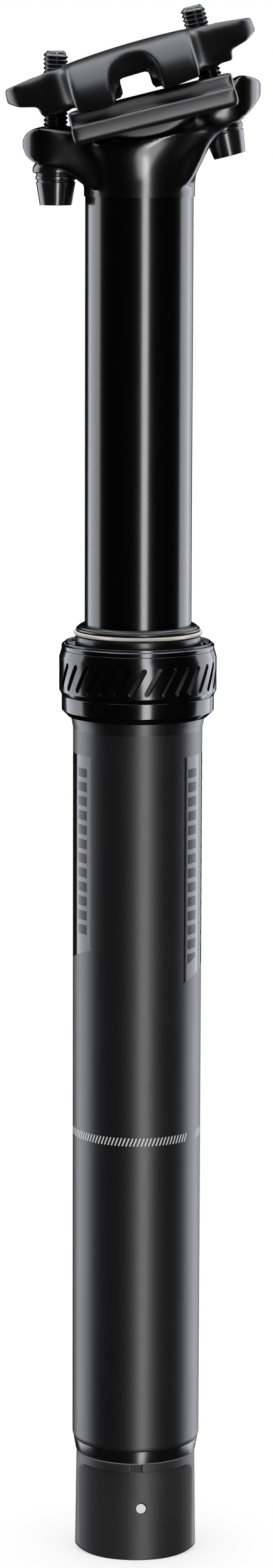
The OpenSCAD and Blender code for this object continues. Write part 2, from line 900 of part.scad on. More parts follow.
module return_spring() {
    wire_r = 0.25;
    coil_r = 1.75;
    pitch = 0.6;
    turns = 2.5;
    steps = 12;
    sides = 8;
    start_y = lever_w / 2 + wire_r + 0.05;
    count = turns * steps;
    points = [
        for (i = [0:count], j = [0:sides - 1])
            let (
                a = i * 360 / steps,
                b = j * 360 / sides,
                c = coil_point(a, coil_r + wire_r * cos(b), pitch)
            ) [c[0], c[1] + start_y + wire_r * sin(b), c[2]]
    ];
    first = [for (j = [0:sides - 1]) j];
    last = [for (j = [sides - 1:-1:0]) count * sides + j];
    walls = [
        for (i = [0:count - 1], j = [0:sides - 1])
            let (k = (j + 1) % sides)
            [i * sides + j, (i + 1) * sides + j, (i + 1) * sides + k, i * sides + k]
    ];
    color("#b9b9c0") lever_frame() polyhedron(points, concat([first], walls, [last]), convexity = 6);
}

outer_tube();
end_cap();
bottom_bumper();
stop_ring();
seal_collar();
seal_retainer();
wiper_seal();
garter_spring();
inner_seal();
top_bushing();
actuator_housing();
pivot_pin();
rod_nut();
gas_rod();
gas_piston();
piston_ring();
stanchion();
head();
gas_cylinder();
cylinder_cap();
rod_seal_head();
rod_seal();
top_out_bumper();
cylinder_circlip();
lower_bushing();
guide_keys();
floating_piston();
floating_piston_ring();
lower_cradle();
upper_clamp();
front_barrel_nut();
rear_barrel_nut();
front_bolt();
rear_bolt();
front_washer();
rear_washer();
actuator_lever();
cable_anchor();
anchor_screw();
return_spring();
valve_pin();
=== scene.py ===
"""Looks of a telescoping bicycle seatpost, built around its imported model.

Sizes are in millimetres and heights are counted up from the foot of the post,
as in the part's own drawing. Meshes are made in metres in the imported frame.
"""
import logging
import math
from collections.abc import Callable, Sequence
from dataclasses import dataclass
from enum import Enum

import bmesh
import bpy
from mathutils import Matrix, Vector


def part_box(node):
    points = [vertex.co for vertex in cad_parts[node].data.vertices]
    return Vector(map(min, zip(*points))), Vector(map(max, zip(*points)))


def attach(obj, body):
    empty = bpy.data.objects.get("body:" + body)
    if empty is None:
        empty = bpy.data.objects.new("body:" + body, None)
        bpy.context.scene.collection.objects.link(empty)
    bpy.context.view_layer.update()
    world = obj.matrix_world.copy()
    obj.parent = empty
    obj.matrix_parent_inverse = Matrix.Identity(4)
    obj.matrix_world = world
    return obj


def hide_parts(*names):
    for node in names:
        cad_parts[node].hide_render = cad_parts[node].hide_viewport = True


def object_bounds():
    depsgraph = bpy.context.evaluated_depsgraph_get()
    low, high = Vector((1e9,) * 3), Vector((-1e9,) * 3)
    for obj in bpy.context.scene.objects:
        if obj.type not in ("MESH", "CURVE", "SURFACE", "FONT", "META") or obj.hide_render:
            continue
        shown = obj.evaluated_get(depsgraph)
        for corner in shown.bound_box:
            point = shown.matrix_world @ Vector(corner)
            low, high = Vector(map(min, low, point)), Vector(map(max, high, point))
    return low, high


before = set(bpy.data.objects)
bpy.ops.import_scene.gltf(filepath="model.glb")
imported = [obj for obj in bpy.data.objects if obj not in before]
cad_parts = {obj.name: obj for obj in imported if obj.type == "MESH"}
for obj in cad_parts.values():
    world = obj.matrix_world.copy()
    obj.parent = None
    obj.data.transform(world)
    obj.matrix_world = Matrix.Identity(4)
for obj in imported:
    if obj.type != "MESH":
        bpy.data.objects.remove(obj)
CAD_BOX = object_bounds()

logging.basicConfig(level=logging.INFO, format="%(name)s: %(message)s")
LOG = logging.getLogger("seatpost")

MM = 0.001
FOOT_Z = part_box("actuator_housing")[0].z
HEAD_H = (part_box("stanchion")[1].z - FOOT_Z) / MM

Point = tuple[float, float]
Colour = tuple[float, float, float]
Size = float | int | bpy.types.Object | bpy.types.Material
Paint = tuple["Wire", "Wire", "Wire | float"]


# ---- Expressions on node sockets ----


class Wire:
    """A socket's value, which adds Math nodes when it stands in an expression."""

    def __init__(self, graph: "Graph", socket: bpy.types.NodeSocket) -> None:
        """Keeps the socket and the graph that new nodes go into."""
        self.graph = graph
        self.socket = socket

    def math(self, operation: str, *others: "Wire | float") -> "Wire":
        """Adds one Math node.

        Args:
            operation: The Math node's operation.
            others: What comes after this value.

        Returns:
            The node's result.
        """
        return self.graph.math(operation, self, *others)

    def __add__(self, other: "Wire | float") -> "Wire":
        """This value plus another."""
        return self.math("ADD", other)

    __radd__ = __add__

    def __sub__(self, other: "Wire | float") -> "Wire":
        """This value minus another."""
        return self.math("SUBTRACT", other)

    def __rsub__(self, other: float) -> "Wire":
        """A number minus this value."""
        return self.graph.math("SUBTRACT", other, self)

    def __mul__(self, other: "Wire | float") -> "Wire":
        """This value times another."""
        return self.math("MULTIPLY", other)

    def __truediv__(self, other: "Wire | float") -> "Wire":
        """This value over another."""
        return self.math("DIVIDE", other)

    def __gt__(self, other: "Wire | float") -> "Wire":
        """1 where this value is the larger, else 0."""
        return self.math("GREATER_THAN", other)

    def __lt__(self, other: "Wire | float") -> "Wire":
        """1 where this value is the smaller, else 0."""
        return self.math("LESS_THAN", other)

    def __mod__(self, other: float) -> "Wire":
        """What is left over after division, never negative."""
        return self.math("FLOORED_MODULO", other)

    def __abs__(self) -> "Wire":
        """This value without its sign."""
        return self.math("ABSOLUTE")

    def ramp(self, low: float, high: float) -> "Wire":
        """0 below low, 1 above high, and a straight rise between."""
        return self.graph.node(
            "ShaderNodeMapRange", {"clamp": True}, {0: self, 1: low, 2: high, 3: 0.0, 4: 1.0}
        )


class Graph:
    """A node tree that is written with expressions."""

    def __init__(self, tree: bpy.types.NodeTree) -> None:
        """Works on an existing, empty tree."""
        self.tree = tree

    @classmethod
    def of(cls, owner: bpy.types.Material | bpy.types.World) -> "Graph":
        """The emptied graph of a material or a world."""
        owner.use_nodes = True
        owner.node_tree.nodes.clear()
        return cls(owner.node_tree)

    def node(
        self,
        kind: str,
        settings: dict[str, object] | None = None,
        values: "dict[int | str, object] | None" = None,
        output: int | str = 0,
    ) -> Wire:
        """Adds a node of any type.

        Args:
            kind: The node's type.
            settings: Properties of the node, set before its sockets.
            values: Constants or wires for its input sockets.
            output: The output socket to return.

        Returns:
            The chosen output.
        """
        made = self.tree.nodes.new(kind)
        for key, value in (settings or {}).items():
            setattr(made, key, value)
        for key, value in (values or {}).items():
            if isinstance(value, Wire):
                self.tree.links.new(value.socket, made.inputs[key])
            else:
                made.inputs[key].default_value = value
        return Wire(self, made.outputs[output])

    def end(self, kind: str, result: Wire) -> None:
        """Adds the tree's output node and links the result to its first socket."""
        self.tree.links.new(result.socket, self.tree.nodes.new(kind).inputs[0])

    def math(self, operation: str, *values: Wire | float) -> Wire:
        """Adds one Math node on the values given."""
        return self.node("ShaderNodeMath", {"operation": operation}, dict(enumerate(values)))

    def mix(self, share: Wire, low: "Wire | Colour", high: "Wire | Colour") -> Wire:
        """Blends two colours.

        Args:
            share: 0 for the first colour, 1 for the second.
            low: The first colour.
            high: The second colour.

        Returns:
            The blended colour.
        """
        ends = [end if isinstance(end, Wire) else (*end, 1.0) for end in (low, high)]
        return self.node(
            "ShaderNodeMix", {"data_type": "RGBA"}, {0: share, 6: ends[0], 7: ends[1]}, 2
        )

    def noise(self, vector: Wire, scale: float, detail: float = 2.0) -> Wire:
        """Smooth random values between 0 and 1, of the given scale."""
        return self.node(
            "ShaderNodeTexNoise", None, {"Vector": vector, "Scale": scale, "Detail": detail}
        )


# ---- Finishes ----


class Pattern(Enum):
    """How a surface's fine grain runs."""

    GRAIN = "even grain"
    TURNED = "rings round the post's axis"
    DRAWN = "streaks along the post's axis"


@dataclass(frozen=True)
class Finish:
    """A surface finish of one colour with grain, clouding, fine relief and, where asked, painted
    glints.
    """

    name: str
    colour: Colour
    roughness: float
    metallic: float = 0.0
    specular: float = 0.5
    pattern: Pattern = Pattern.GRAIN
    grain_mm: float = 0.35
    relief_mm: float = 0.004
    rough_spread: float = 0.08
    tone_spread: float = 0.25
    cloud_mm: float = 14.0
    # Share of pale flecks painted into the colour as glints of the grain's sparkle.
    painted_glints: float = 0.0

    def stretch(self) -> tuple[float, float, float]:
        """How far the grain is squeezed along X, Y and Z."""
        return {
            Pattern.GRAIN: (1.0, 1.0, 1.0),
            Pattern.TURNED: (0.04, 0.04, 1.0),
            Pattern.DRAWN: (1.0, 1.0, 0.03),
        }[self.pattern]

    def paint(self, graph: Graph, place: Wire, colour: Wire, rough: Wire) -> Paint:
        """Lets a finish of its own kind change the colour, roughness and metal share.

        Args:
            graph: The material's graph.
            place: Object coordinates.
            colour: The colour so far.
            rough: The roughness so far.

        Returns:
            The colour, the roughness and the metal share to use.
        """
        return colour, rough, self.metallic

    def material(self) -> bpy.types.Material:
        """Builds the finish's material."""
        made = bpy.data.materials.new(self.name)
        graph = Graph.of(made)
        place = graph.node("ShaderNodeTexCoord", None, None, "Object")
        drawn = graph.node(
            "ShaderNodeVectorMath", {"operation": "MULTIPLY"}, {0: place, 1: self.stretch()}
        )
        grain = graph.noise(drawn, 1.0 / (self.grain_mm * MM), 3.0)
        cloud = graph.noise(place, 1.0 / (self.cloud_mm * MM), 3.0)
        share = (grain * 0.6 + cloud * 0.4).ramp(0.3, 0.7)
        dark = tuple(part * (1.0 - self.tone_spread) for part in self.colour)
        light = tuple(min(1.0, part * (1.0 + self.tone_spread)) for part in self.colour)
        colour = graph.mix(share, dark, light)
        # Pale flecks painted into the colour: painted glints that stand for the sparkle of the
        # grain.
        if self.painted_glints:
            spots = graph.noise(place, 1.0 / (0.22 * MM), 1.0).ramp(0.62, 0.74)
            pale = tuple(min(1.0, part * 3.0 + 0.004) for part in self.colour)
            colour = graph.mix(spots * self.painted_glints, colour, pale)
        rough = (grain - 0.5) * self.rough_spread + (cloud - 0.5) * self.rough_spread
        rough = rough + self.roughness
        colour, rough, metal = self.paint(graph, place, colour, rough)
        bump = graph.node(
            "ShaderNodeBump", None,
            {"Strength": 1.0, "Distance": self.relief_mm * MM, "Height": grain},
        )
        shader = graph.node(
            "ShaderNodeBsdfPrincipled", None,
            {
                "Base Color": colour, "Roughness": rough, "Metallic": metal,
                "Specular IOR Level": self.specular, "Normal": bump,
            },
        )
        graph.end("ShaderNodeOutputMaterial", shader)
        return made


@dataclass(frozen=True)
class TubeFinish(Finish):
    """The outer tube's satin black, with two glossy printed panels of plain blocks, and painted
    shade on the band where it flares.
    """

    panel_turn: float = 46.0
    panel_reach: float = 118.0
    left_foot: float = 151.0
    right_foot: float = 143.0
    panel_top: float = 197.6
    slant: float = 0.09
    block_pitch: float = 3.45
    gloss: float = 0.1
    flare_foot: float = 203.3
    flare_top: float = 206.3

    def paint(self, graph: Graph, place: Wire, colour: Wire, rough: Wire) -> Paint:
        """Adds the panels; see Finish.paint."""
        x, y, z = (
            graph.node("ShaderNodeSeparateXYZ", None, {0: place}, axis) for axis in range(3)
        )
        turn = graph.math("ARCTAN2", x, y * -1.0) * (180.0 / math.pi)
        height = (z - FOOT_Z) / MM
        side = abs(turn)
        right = turn > 0.0
        foot = self.left_foot + right * (self.right_foot - self.left_foot)
        foot = foot + (turn - (right * 2.0 - 1.0) * self.panel_turn) * self.slant
        panel = (side > self.panel_turn) * (side < self.panel_reach)
        panel = panel * (height > foot) * (height < self.panel_top)
        row = (height - self.right_foot) % self.block_pitch
        column = (side - self.panel_turn) % 24.0
        block = (row > 1.15) * (column > 5.0) * (column < 19.0)
        block = block * (height > foot + 4.0) * (height < self.panel_top - 3.0)
        colour = graph.mix(panel, colour, (0.006, 0.006, 0.007))
        block = panel * block
        shine = panel * (1.0 - block * 0.4)
        # The flared band is darkened in colour: painted shade where the flare tilts away from the
        # light. It is also made glossier.
        flare = (height > self.flare_foot) * (height < self.flare_top)
        colour = graph.mix(flare * 0.4, colour, (0.0, 0.0, 0.0))
        rough = rough - (shine + flare * 0.2) * (self.roughness - self.gloss)
        return colour, rough, block


@dataclass(frozen=True)
class RimFinish(Finish):
    """A glossy ring whose lowest edge is bare metal."""

    bare_foot: float = 24.68
    bare_top: float = 24.88

    def paint(self, graph: Graph, place: Wire, colour: Wire, rough: Wire) -> Paint:
        """Bares the lowest edge; see Finish.paint."""
        z = graph.node("ShaderNodeSeparateXYZ", None, {0: place}, 2)
        height = (z - FOOT_Z) / MM
        bare = (height > self.bare_foot) * (height < self.bare_top) * 0.6
        return graph.mix(bare, colour, (0.42, 0.42, 0.44)), rough, self.metallic


class Look(Enum):
    """Every finish on the post."""

    # The tube's pale flecks are painted glints.
    TUBE = TubeFinish(
        "satin black tube", (0.0031, 0.0031, 0.0036), 0.37, specular=0.42, grain_mm=0.18,
        relief_mm=0.006, rough_spread=0.05, painted_glints=0.4,
    )
    RIM = RimFinish(
        "gloss black end ring", (0.003, 0.003, 0.0034), 0.2,
        pattern=Pattern.TURNED, grain_mm=0.05, relief_mm=0.001,
    )
    COLLAR = Finish(
        "gloss black anodised", (0.0012, 0.0012, 0.0014), 0.15,
        pattern=Pattern.TURNED, grain_mm=0.06, relief_mm=0.001, rough_spread=0.06,
    )
    STANCHION = Finish(
        "gloss black stanchion", (0.0008, 0.0008, 0.001), 0.17,
        pattern=Pattern.DRAWN, grain_mm=0.12, relief_mm=0.0004, rough_spread=0.03,
        tone_spread=0.15,
    )
    HEAD = Finish(
        "gloss black head lacquer", (0.0009, 0.0009, 0.001), 0.21, specular=0.55,
        grain_mm=0.7, relief_mm=0.0015, rough_spread=0.06,
    )
    # The clamp's pale flecks are painted glints of its blasted grain.
    CLAMP = Finish(
        "blasted satin black clamp", (0.003, 0.003, 0.0033), 0.33,
        grain_mm=0.2, relief_mm=0.017, rough_spread=0.12, painted_glints=0.45,
    )
    HOUSING = Finish(
        "moulded dark grey housing", (0.0115, 0.011, 0.0113), 0.42, specular=0.3,
        grain_mm=0.22, relief_mm=0.008, rough_spread=0.1, tone_spread=0.2,
    )
    RUBBER = Finish(
        "black rubber", (0.0022, 0.0022, 0.0022), 0.26, specular=0.4, grain_mm=0.3,
        relief_mm=0.004, rough_spread=0.14,
    )
    SPRING = Finish(
        "pale spring wire", (0.62, 0.585, 0.53), 0.34, metallic=0.1, grain_mm=0.08,
        relief_mm=0.001,
    )
    GLIDE = Finish(
        "green glide plastic", (0.10, 0.15, 0.11), 0.4, grain_mm=0.25, relief_mm=0.003,
    )
    BRIGHT = Finish(
        "bright steel", (0.72, 0.72, 0.74), 0.22, metallic=1.0, pattern=Pattern.TURNED,
        grain_mm=0.05, relief_mm=0.001,
    )
    CHROME = Finish(
        "chromed rod", (0.78, 0.78, 0.80), 0.10, metallic=1.0, pattern=Pattern.DRAWN,
        grain_mm=0.08, relief_mm=0.0004, rough_spread=0.03, tone_spread=0.05,
    )
    ALUMINIUM = Finish(
        "bare aluminium", (0.56, 0.56, 0.59), 0.32, metallic=1.0, pattern=Pattern.TURNED,
        grain_mm=0.05, relief_mm=0.002, tone_spread=0.12,
    )
    NUT = Finish(
        "grey steel nut", (0.30, 0.30, 0.31), 0.36, metallic=1.0, grain_mm=0.1,
        relief_mm=0.002, tone_spread=0.15,
    )
    OXIDE = Finish(
        "black oxide steel", (0.006, 0.006, 0.0066), 0.2, specular=0.6, grain_mm=0.1,
        relief_mm=0.003, tone_spread=0.35,
    )
    LEVER = Finish(
        "dark steel lever", (0.05, 0.05, 0.055), 0.4, metallic=0.8, grain_mm=0.15,
        relief_mm=0.002,
    )
    BRASS = Finish(
        "brass key", (0.52, 0.36, 0.13), 0.3, metallic=1.0, pattern=Pattern.DRAWN,
        grain_mm=0.08, relief_mm=0.001,
    )
    # Lighter than the retainer's black: a painted highlight of the small teeth, which catch the
    # light as a row of bright marks.
    TEETH = Finish(
        "worn edge of fine teeth", (0.02, 0.02, 0.021), 0.22, specular=1.0, grain_mm=0.2,
        relief_mm=0.001,
    )
    MARK = Finish(
        "white limit mark paint", (0.52, 0.52, 0.52), 0.5, grain_mm=0.12, relief_mm=0.001,
        tone_spread=0.04,
    )


_MADE: dict[Look, bpy.types.Material] = {}


def finish(look: Look) -> bpy.types.Material:
    """The material of a look, made the first time that it is asked for."""
    if look not in _MADE:
        _MADE[look] = look.value.material()
    return _MADE[look]


# ---- Outlines and meshes ----


def in_frame(x: float, y: float, h: float) -> Vector:
    """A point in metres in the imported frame, from millimetres and a height above the foot."""
    return Vector((x * MM, y * MM, FOOT_Z + h * MM))


def rounded(outline: Sequence[Point], radius: float, steps: int = 4) -> list[Point]:
    """Rounds the corners of a closed outline.

    Args:
        outline: The corners.
        radius: How far along each edge the rounding starts, in mm.
        steps: Points on each rounded corner, less one.

    Returns:
        The rounded outline.
    """
    made: list[Point] = []
    count = len(outline)
    for i, corner in enumerate(outline):
        here = Vector(corner)
        ends = [Vector(outline[i - 1]) - here, Vector(outline[(i + 1) % count]) - here]
        if abs(ends[0].normalized().dot(ends[1].normalized())) > 0.9995:
            made.append(tuple(here))
            continue
        reach = min(radius, 0.45 * ends[0].length, 0.45 * ends[1].length)
        first, last = (here + end.normalized() * reach for end in ends)
        for k in range(steps + 1):
            t = k / steps
            spot = first * (1 - t) ** 2 + here * (2 * t * (1 - t)) + last * t**2
            made.append(tuple(spot))
    return made


def through(points: Sequence[Point], steps: int = 6) -> list[Point]:
    """A closed smooth outline that passes through the points given."""
    made: list[Point] = []
    count = len(points)
    for i in range(count):
        a, b, c, d = (Vector(points[(i + k) % count]) for k in (-1, 0, 1, 2))
        for k in range(steps):
            t = k / steps
            spot = 0.5 * (
                2 * b + (c - a) * t + (2 * a - 5 * b + 4 * c - d) * t**2
                + (3 * b - a - 3 * c + d) * t**3
            )
            made.append(tuple(spot))
    return made


def placed(name: str, data: bpy.types.ID) -> bpy.types.Object:
    """A new object in the scene, with the data given."""
    made = bpy.data.objects.new(name, data)
    bpy.context.scene.collection.objects.link(made)
    return made


def poured(name: str, shape: bmesh.types.BMesh) -> bpy.types.Object:
    """A new object with the mesh given, which is used up."""
    mesh = bpy.data.meshes.new(name)
    shape.to_mesh(mesh)
    shape.free()
    return placed(name, mesh)


def piece_of(
    name: str, points: Sequence[Vector], faces: Sequence[Sequence[int]], sharp: float = 32.0
) -> bpy.types.Object:
    """Makes a smooth-shaded object with sharp edges over an angle.

    Args:
        name: The piece's name.
        points: Its points, in metres.
        faces: The points of each face.
        sharp: Edges that bend further than this many degrees stay sharp.

    Returns:
        The object, in the scene.
    """
    shape = bmesh.new()
    spots = [shape.verts.new(point) for point in points]
    for face in faces:
        if len(set(face)) > 2:
            shape.faces.new([spots[i] for i in face])
    bmesh.ops.remove_doubles(shape, verts=shape.verts[:], dist=1e-7)
    bmesh.ops.recalc_face_normals(shape, faces=shape.faces[:])
    made = poured(name, shape)
    shade(made, sharp)
    return made


def shade(piece: bpy.types.Object, sharp: float = 32.0) -> None:
    """Shades a piece smoothly, except over edges that bend further than sharp degrees."""
    piece.data.shade_smooth()
    piece.data.set_sharp_from_angle(angle=math.radians(sharp))


def turned(name: str, outline: Sequence[Point], steps: int = 192) -> bpy.types.Object:
    """Turns a closed outline of radius and height about the post's axis.

    Args:
        name: The piece's name.
        outline: Radius and height above the foot of each corner, in mm.
        steps: Faces round the axis.

    Returns:
        The turned piece.
    """
    count = len(outline)
    points = [
        in_frame(r * math.cos(a), r * math.sin(a), h)
        for a in (math.tau * s / steps for s in range(steps))
        for r, h in outline
    ]
    faces = [
        (
            s * count + i, s * count + (i + 1) % count,
            (s + 1) % steps * count + (i + 1) % count, (s + 1) % steps * count + i,
        )
        for s in range(steps)
        for i in range(count)
        if outline[i][0] > 0.0 or outline[(i + 1) % count][0] > 0.0
    ]
    return piece_of(name, points, faces)


def prism(name: str, rings: Sequence[Sequence[Vector]]) -> bpy.types.Object:
    """Joins rings of equally many points, one above the other, into a closed solid.

    Args:
        name: The solid's name.
        rings: The points of each ring.

    Returns:
        The solid.
    """
    count = len(rings[0])
    last = (len(rings) - 1) * count
    faces: list[Sequence[int]] = [range(count), range(last + count - 1, last - 1, -1)]
    faces += [
        (v + i, v + (i + 1) % count, v + count + (i + 1) % count, v + count + i)
        for v in range(0, last, count)
        for i in range(count)
    ]
    return piece_of(name, [point for ring in rings for point in ring], faces)


def slab(
    name: str, outline: Sequence[Point], low: float, high: float, along: str
) -> bpy.types.Object:
    """A flat outline made solid along one axis.

    Args:
        name: The piece's name.
        outline: X and height for a slab along Y, or X and Y for one along Z.
        low: Where the slab starts, in mm.
        high: Where it ends.
        along: "Y" or "Z".

    Returns:
        The solid.
    """
    rings = [
        [in_frame(a, level, b) if along == "Y" else in_frame(a, b, level) for a, b in outline]
        for level in (low, high)
    ]
    return prism(name, rings)


def wall_box(
    name: str, index: int, inner: float, outer: float, wide: float, low: float, high: float
) -> bpy.types.Object:
    """A box that stands across a tube's wall, for one of the three keys.

    Args:
        name: The box's name.
        index: Which key, counted from 0.
        inner: Radius where the box starts, in mm.
        outer: Radius where it ends.
        wide: Width across the radius.
        low: Height of its foot.
        high: Height of its top.

    Returns:
        The box, as a cutter.
    """
    half, turn = wide / 2, math.radians(90 + 120 * index)
    spun = [
        (x * math.cos(turn) - y * math.sin(turn), x * math.sin(turn) + y * math.cos(turn))
        for x, y in ((inner, -half), (outer, -half), (outer, half), (inner, half))
    ]
    return slab(name, spun, low, high, "Z")


def share(value: float, low: float, high: float) -> float:
    """0 below low, 1 above high, and a straight rise between."""
    return min(max((value - low) / (high - low), 0.0), 1.0)


def circle(radius: float, steps: int, x: float = 0.0, y: float = 0.0) -> list[Point]:
    """Points on a circle."""
    return [
        (x + radius * math.cos(math.tau * i / steps), y + radius * math.sin(math.tau * i / steps))
        for i in range(steps)
    ]


def baked(carrier: bpy.types.Object, name: str) -> bpy.types.Object:
    """Turns an object with modifiers into a plain mesh and removes the carrier.

    Args:
        carrier: The object with its modifiers.
        name: The new piece's name.

    Returns:
        The plain piece.
    """
    bpy.context.view_layer.update()
    graph = bpy.context.evaluated_depsgraph_get()
    mesh = bpy.data.meshes.new_from_object(carrier.evaluated_get(graph))
    carrier.modifiers.clear()
    bpy.data.objects.remove(carrier)
    mesh.name = name
    return placed(name, mesh)


class Cut(Enum):
    """What a boolean leaves of a piece."""

    AWAY = "DIFFERENCE"
    COMMON = "INTERSECT"


def cut(
    piece: bpy.types.Object, tools: Sequence[bpy.types.Object], kind: Cut = Cut.AWAY
) -> bpy.types.Object:
    """Cuts a piece with closed solids, which are used up.

    Args:
        piece: The piece to cut.
        tools: The solids that cut it, one after another.
        kind: Whether the solids are taken away or only what they share is kept.

    Returns:
        The cut piece, under the same name.
    """
    name = piece.name
    for tool in tools:
        step = piece.modifiers.new("cut", "BOOLEAN")
        step.operation = kind.value
        step.solver = "EXACT"
        step.object = tool
    piece.name = name + ".before"
    made = baked(piece, name)
    for tool in tools:
        bpy.data.objects.remove(tool)
    shade(made)
    return made


def joined(name: str, parts: Sequence[bpy.types.Object]) -> bpy.types.Object:
    """Puts several pieces into one mesh and removes them."""
    shape = bmesh.new()
    for part in parts:
        shape.from_mesh(part.data)
        bpy.data.objects.remove(part)
    return poured(name, shape)


def softened(
    piece: bpy.types.Object, voxel: float, rounds: int,
    blend: Callable[[Vector], float] | None = None, blend_rounds: int = 0,
) -> bpy.types.Object:
    """Remeshes a closed piece evenly and rounds its edges.

    Args:
        piece: The piece, which is used up.
        voxel: Size of the new faces, in mm.
        rounds: How often the surface is smoothed.
        blend: Share of the extra smoothing that each point gets.
        blend_rounds: How often the surface is smoothed again by those shares.

    Returns:
        The piece with soft edges, under the same name.
    """
    name = piece.name
    piece.name = name + ".hard"
    coarse = 1.0
    even = piece.modifiers.new("even", "REMESH")
    even.mode = "VOXEL"
    even.voxel_size = voxel * MM * coarse
    soft = piece.modifiers.new("soft", "SMOOTH")
    soft.factor = 0.5
    soft.iterations = max(1, round(rounds / coarse**2))
    made = baked(piece, name)
    if blend:
        zone = made.vertex_groups.new(name="blend")
        for point in made.data.vertices:
            zone.add([point.index], blend(point.co), "REPLACE")
        made.name = name + ".even"
        more = made.modifiers.new("blend", "SMOOTH")
        more.factor = 0.5
        more.iterations = round(blend_rounds / coarse**2)
        more.vertex_group = zone.name
        made = baked(made, name)
    shade(made, 50.0)
    return made


def copy_of(node: str, name: str) -> bpy.types.Object:
    """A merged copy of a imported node's mesh, as a piece of its own."""
    shape = bmesh.new()
    shape.from_mesh(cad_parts[node].data)
    bmesh.ops.remove_doubles(shape, verts=shape.verts[:], dist=2e-7)
    return poured(name, shape)


def grown(
    name: str, sizes: dict[str, Size], recipe: Callable[[Graph, dict[str, Wire]], Wire]
) -> bpy.types.Object:
    """Makes a piece with Geometry Nodes and turns it into a plain mesh.

    Args:
        name: The piece's name.
        sizes: The tree's named inputs and their values; "Finish" is its material.
        recipe: Adds the nodes between the inputs and the returned geometry.

    Returns:
        The plain piece.
    """
    kinds = {
        int: "NodeSocketInt", float: "NodeSocketFloat",
        bpy.types.Object: "NodeSocketObject", bpy.types.Material: "NodeSocketMaterial",
    }
    tree = bpy.data.node_groups.new(name, "GeometryNodeTree")
    new_socket = tree.interface.new_socket
    idents = {
        key: new_socket(key, in_out="INPUT", socket_type=kinds[type(value)]).identifier
        for key, value in sizes.items()
    }
    new_socket("Geometry", in_out="OUTPUT", socket_type="NodeSocketGeometry")
    graph = Graph(tree)
    entry = tree.nodes.new("NodeGroupInput")
    inputs = {key: Wire(graph, entry.outputs[key]) for key in sizes}
    shape = recipe(graph, inputs)
    shape = graph.node("GeometryNodeRealizeInstances", None, {0: shape})
    shape = graph.node("GeometryNodeSetMaterial", None, {0: shape, "Material": inputs["Finish"]})
    graph.end("NodeGroupOutput", shape)
    carrier = placed(name + ".carrier", bpy.data.meshes.new(name + ".carrier"))
    step = carrier.modifiers.new("grow", "NODES")
    step.node_group = tree
    for key, value in sizes.items():
        step[idents[key]] = value
    return baked(carrier, name)


def ring_of(
    name: str, tile: bpy.types.Object, look: Look, count: int, step: float, first: float = 0.0
) -> bpy.types.Object:
    """Repeats a tile round the post's axis with Geometry Nodes.

    Args:
        name: The piece's name.
        tile: What is repeated, in place on the +X side; it is used up.
        look: The finish.
        count: How many tiles.
        step: Turn from one tile to the next, in degrees.
        first: Turn of the first tile, in degrees.

    Returns:
        The ring.
    """

    def recipe(graph: Graph, inputs: dict[str, Wire]) -> Wire:
        """Instances the tile on points at the origin, each turned further."""
        spots = graph.node("GeometryNodePoints", None, {"Count": inputs["Count"]})
        index = graph.node("GeometryNodeInputIndex")
        turn = index * inputs["Step"] + inputs["First"]
        spin = graph.node("ShaderNodeCombineXYZ", None, {2: turn})
        shape = graph.node("GeometryNodeObjectInfo", None, {"Object": inputs["Tile"]}, "Geometry")
        return graph.node(
            "GeometryNodeInstanceOnPoints", None,
            {"Points": spots, "Instance": shape, "Rotation": spin},
        )

    made = grown(
        name,
        {
            "Tile": tile, "Count": count, "First": math.radians(first),
            "Step": math.radians(step), "Finish": finish(look),
        },
        recipe,
    )
    bpy.data.objects.remove(tile)
    shade(made)
    return made


def settle(
    piece: bpy.types.Object, look: Look, slot: str, body: str, *nodes: str
) -> bpy.types.Object:
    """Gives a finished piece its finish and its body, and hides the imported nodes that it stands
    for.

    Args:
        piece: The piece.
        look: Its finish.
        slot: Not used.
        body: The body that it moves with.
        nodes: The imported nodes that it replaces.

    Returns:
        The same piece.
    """
    piece.data.materials.clear()
    piece.data.materials.append(finish(look))
    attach(piece, body)
    if nodes:
        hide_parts(*nodes)
    LOG.info("%s on %s: %d faces", piece.name, body, len(piece.data.polygons))
    return piece


def area_light(
    name: str, wide: float, tall: float, radiance: float, tint: Colour = (1.0, 1.0, 1.0)
) -> bpy.types.Object:
    """A rectangular light that only shows in reflections.

    Args:
        name: Its name.
        wide: Its width in metres.
        tall: Its height in metres.
        radiance: Its brightness, whatever its size.
        tint: Its colour.

    Returns:
        The light, at the origin.
    """
    light = bpy.data.lights.new(name, "AREA")
    light.shape = "RECTANGLE"
    light.size, light.size_y = wide, tall
    light.energy = radiance * math.pi * wide * tall
    light.color = tint
    made = placed(name, light)
    made.visible_camera = False
    made.visible_diffuse = False
    return made


def keep_dark(piece: bpy.types.Object, light: str) -> None:
    """Keeps one light off a piece."""
    spared = bpy.data.collections.new("spared by the " + light)
    spared.objects.link(piece)
    spared.collection_objects[0].light_linking.link_state = "EXCLUDE"
    bpy.data.objects[light].light_linking.receiver_collection = spared


def dress(node: str, look: Look) -> None:
    """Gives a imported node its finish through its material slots."""
    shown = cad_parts[node]
    if not shown.material_slots:
        shown.data.materials.append(None)
    for place in shown.material_slots:
        place.material = finish(look)
    LOG.info("%s keeps its shape, with %s", node, look.value.name)


# ---- Sub-assemblies ----


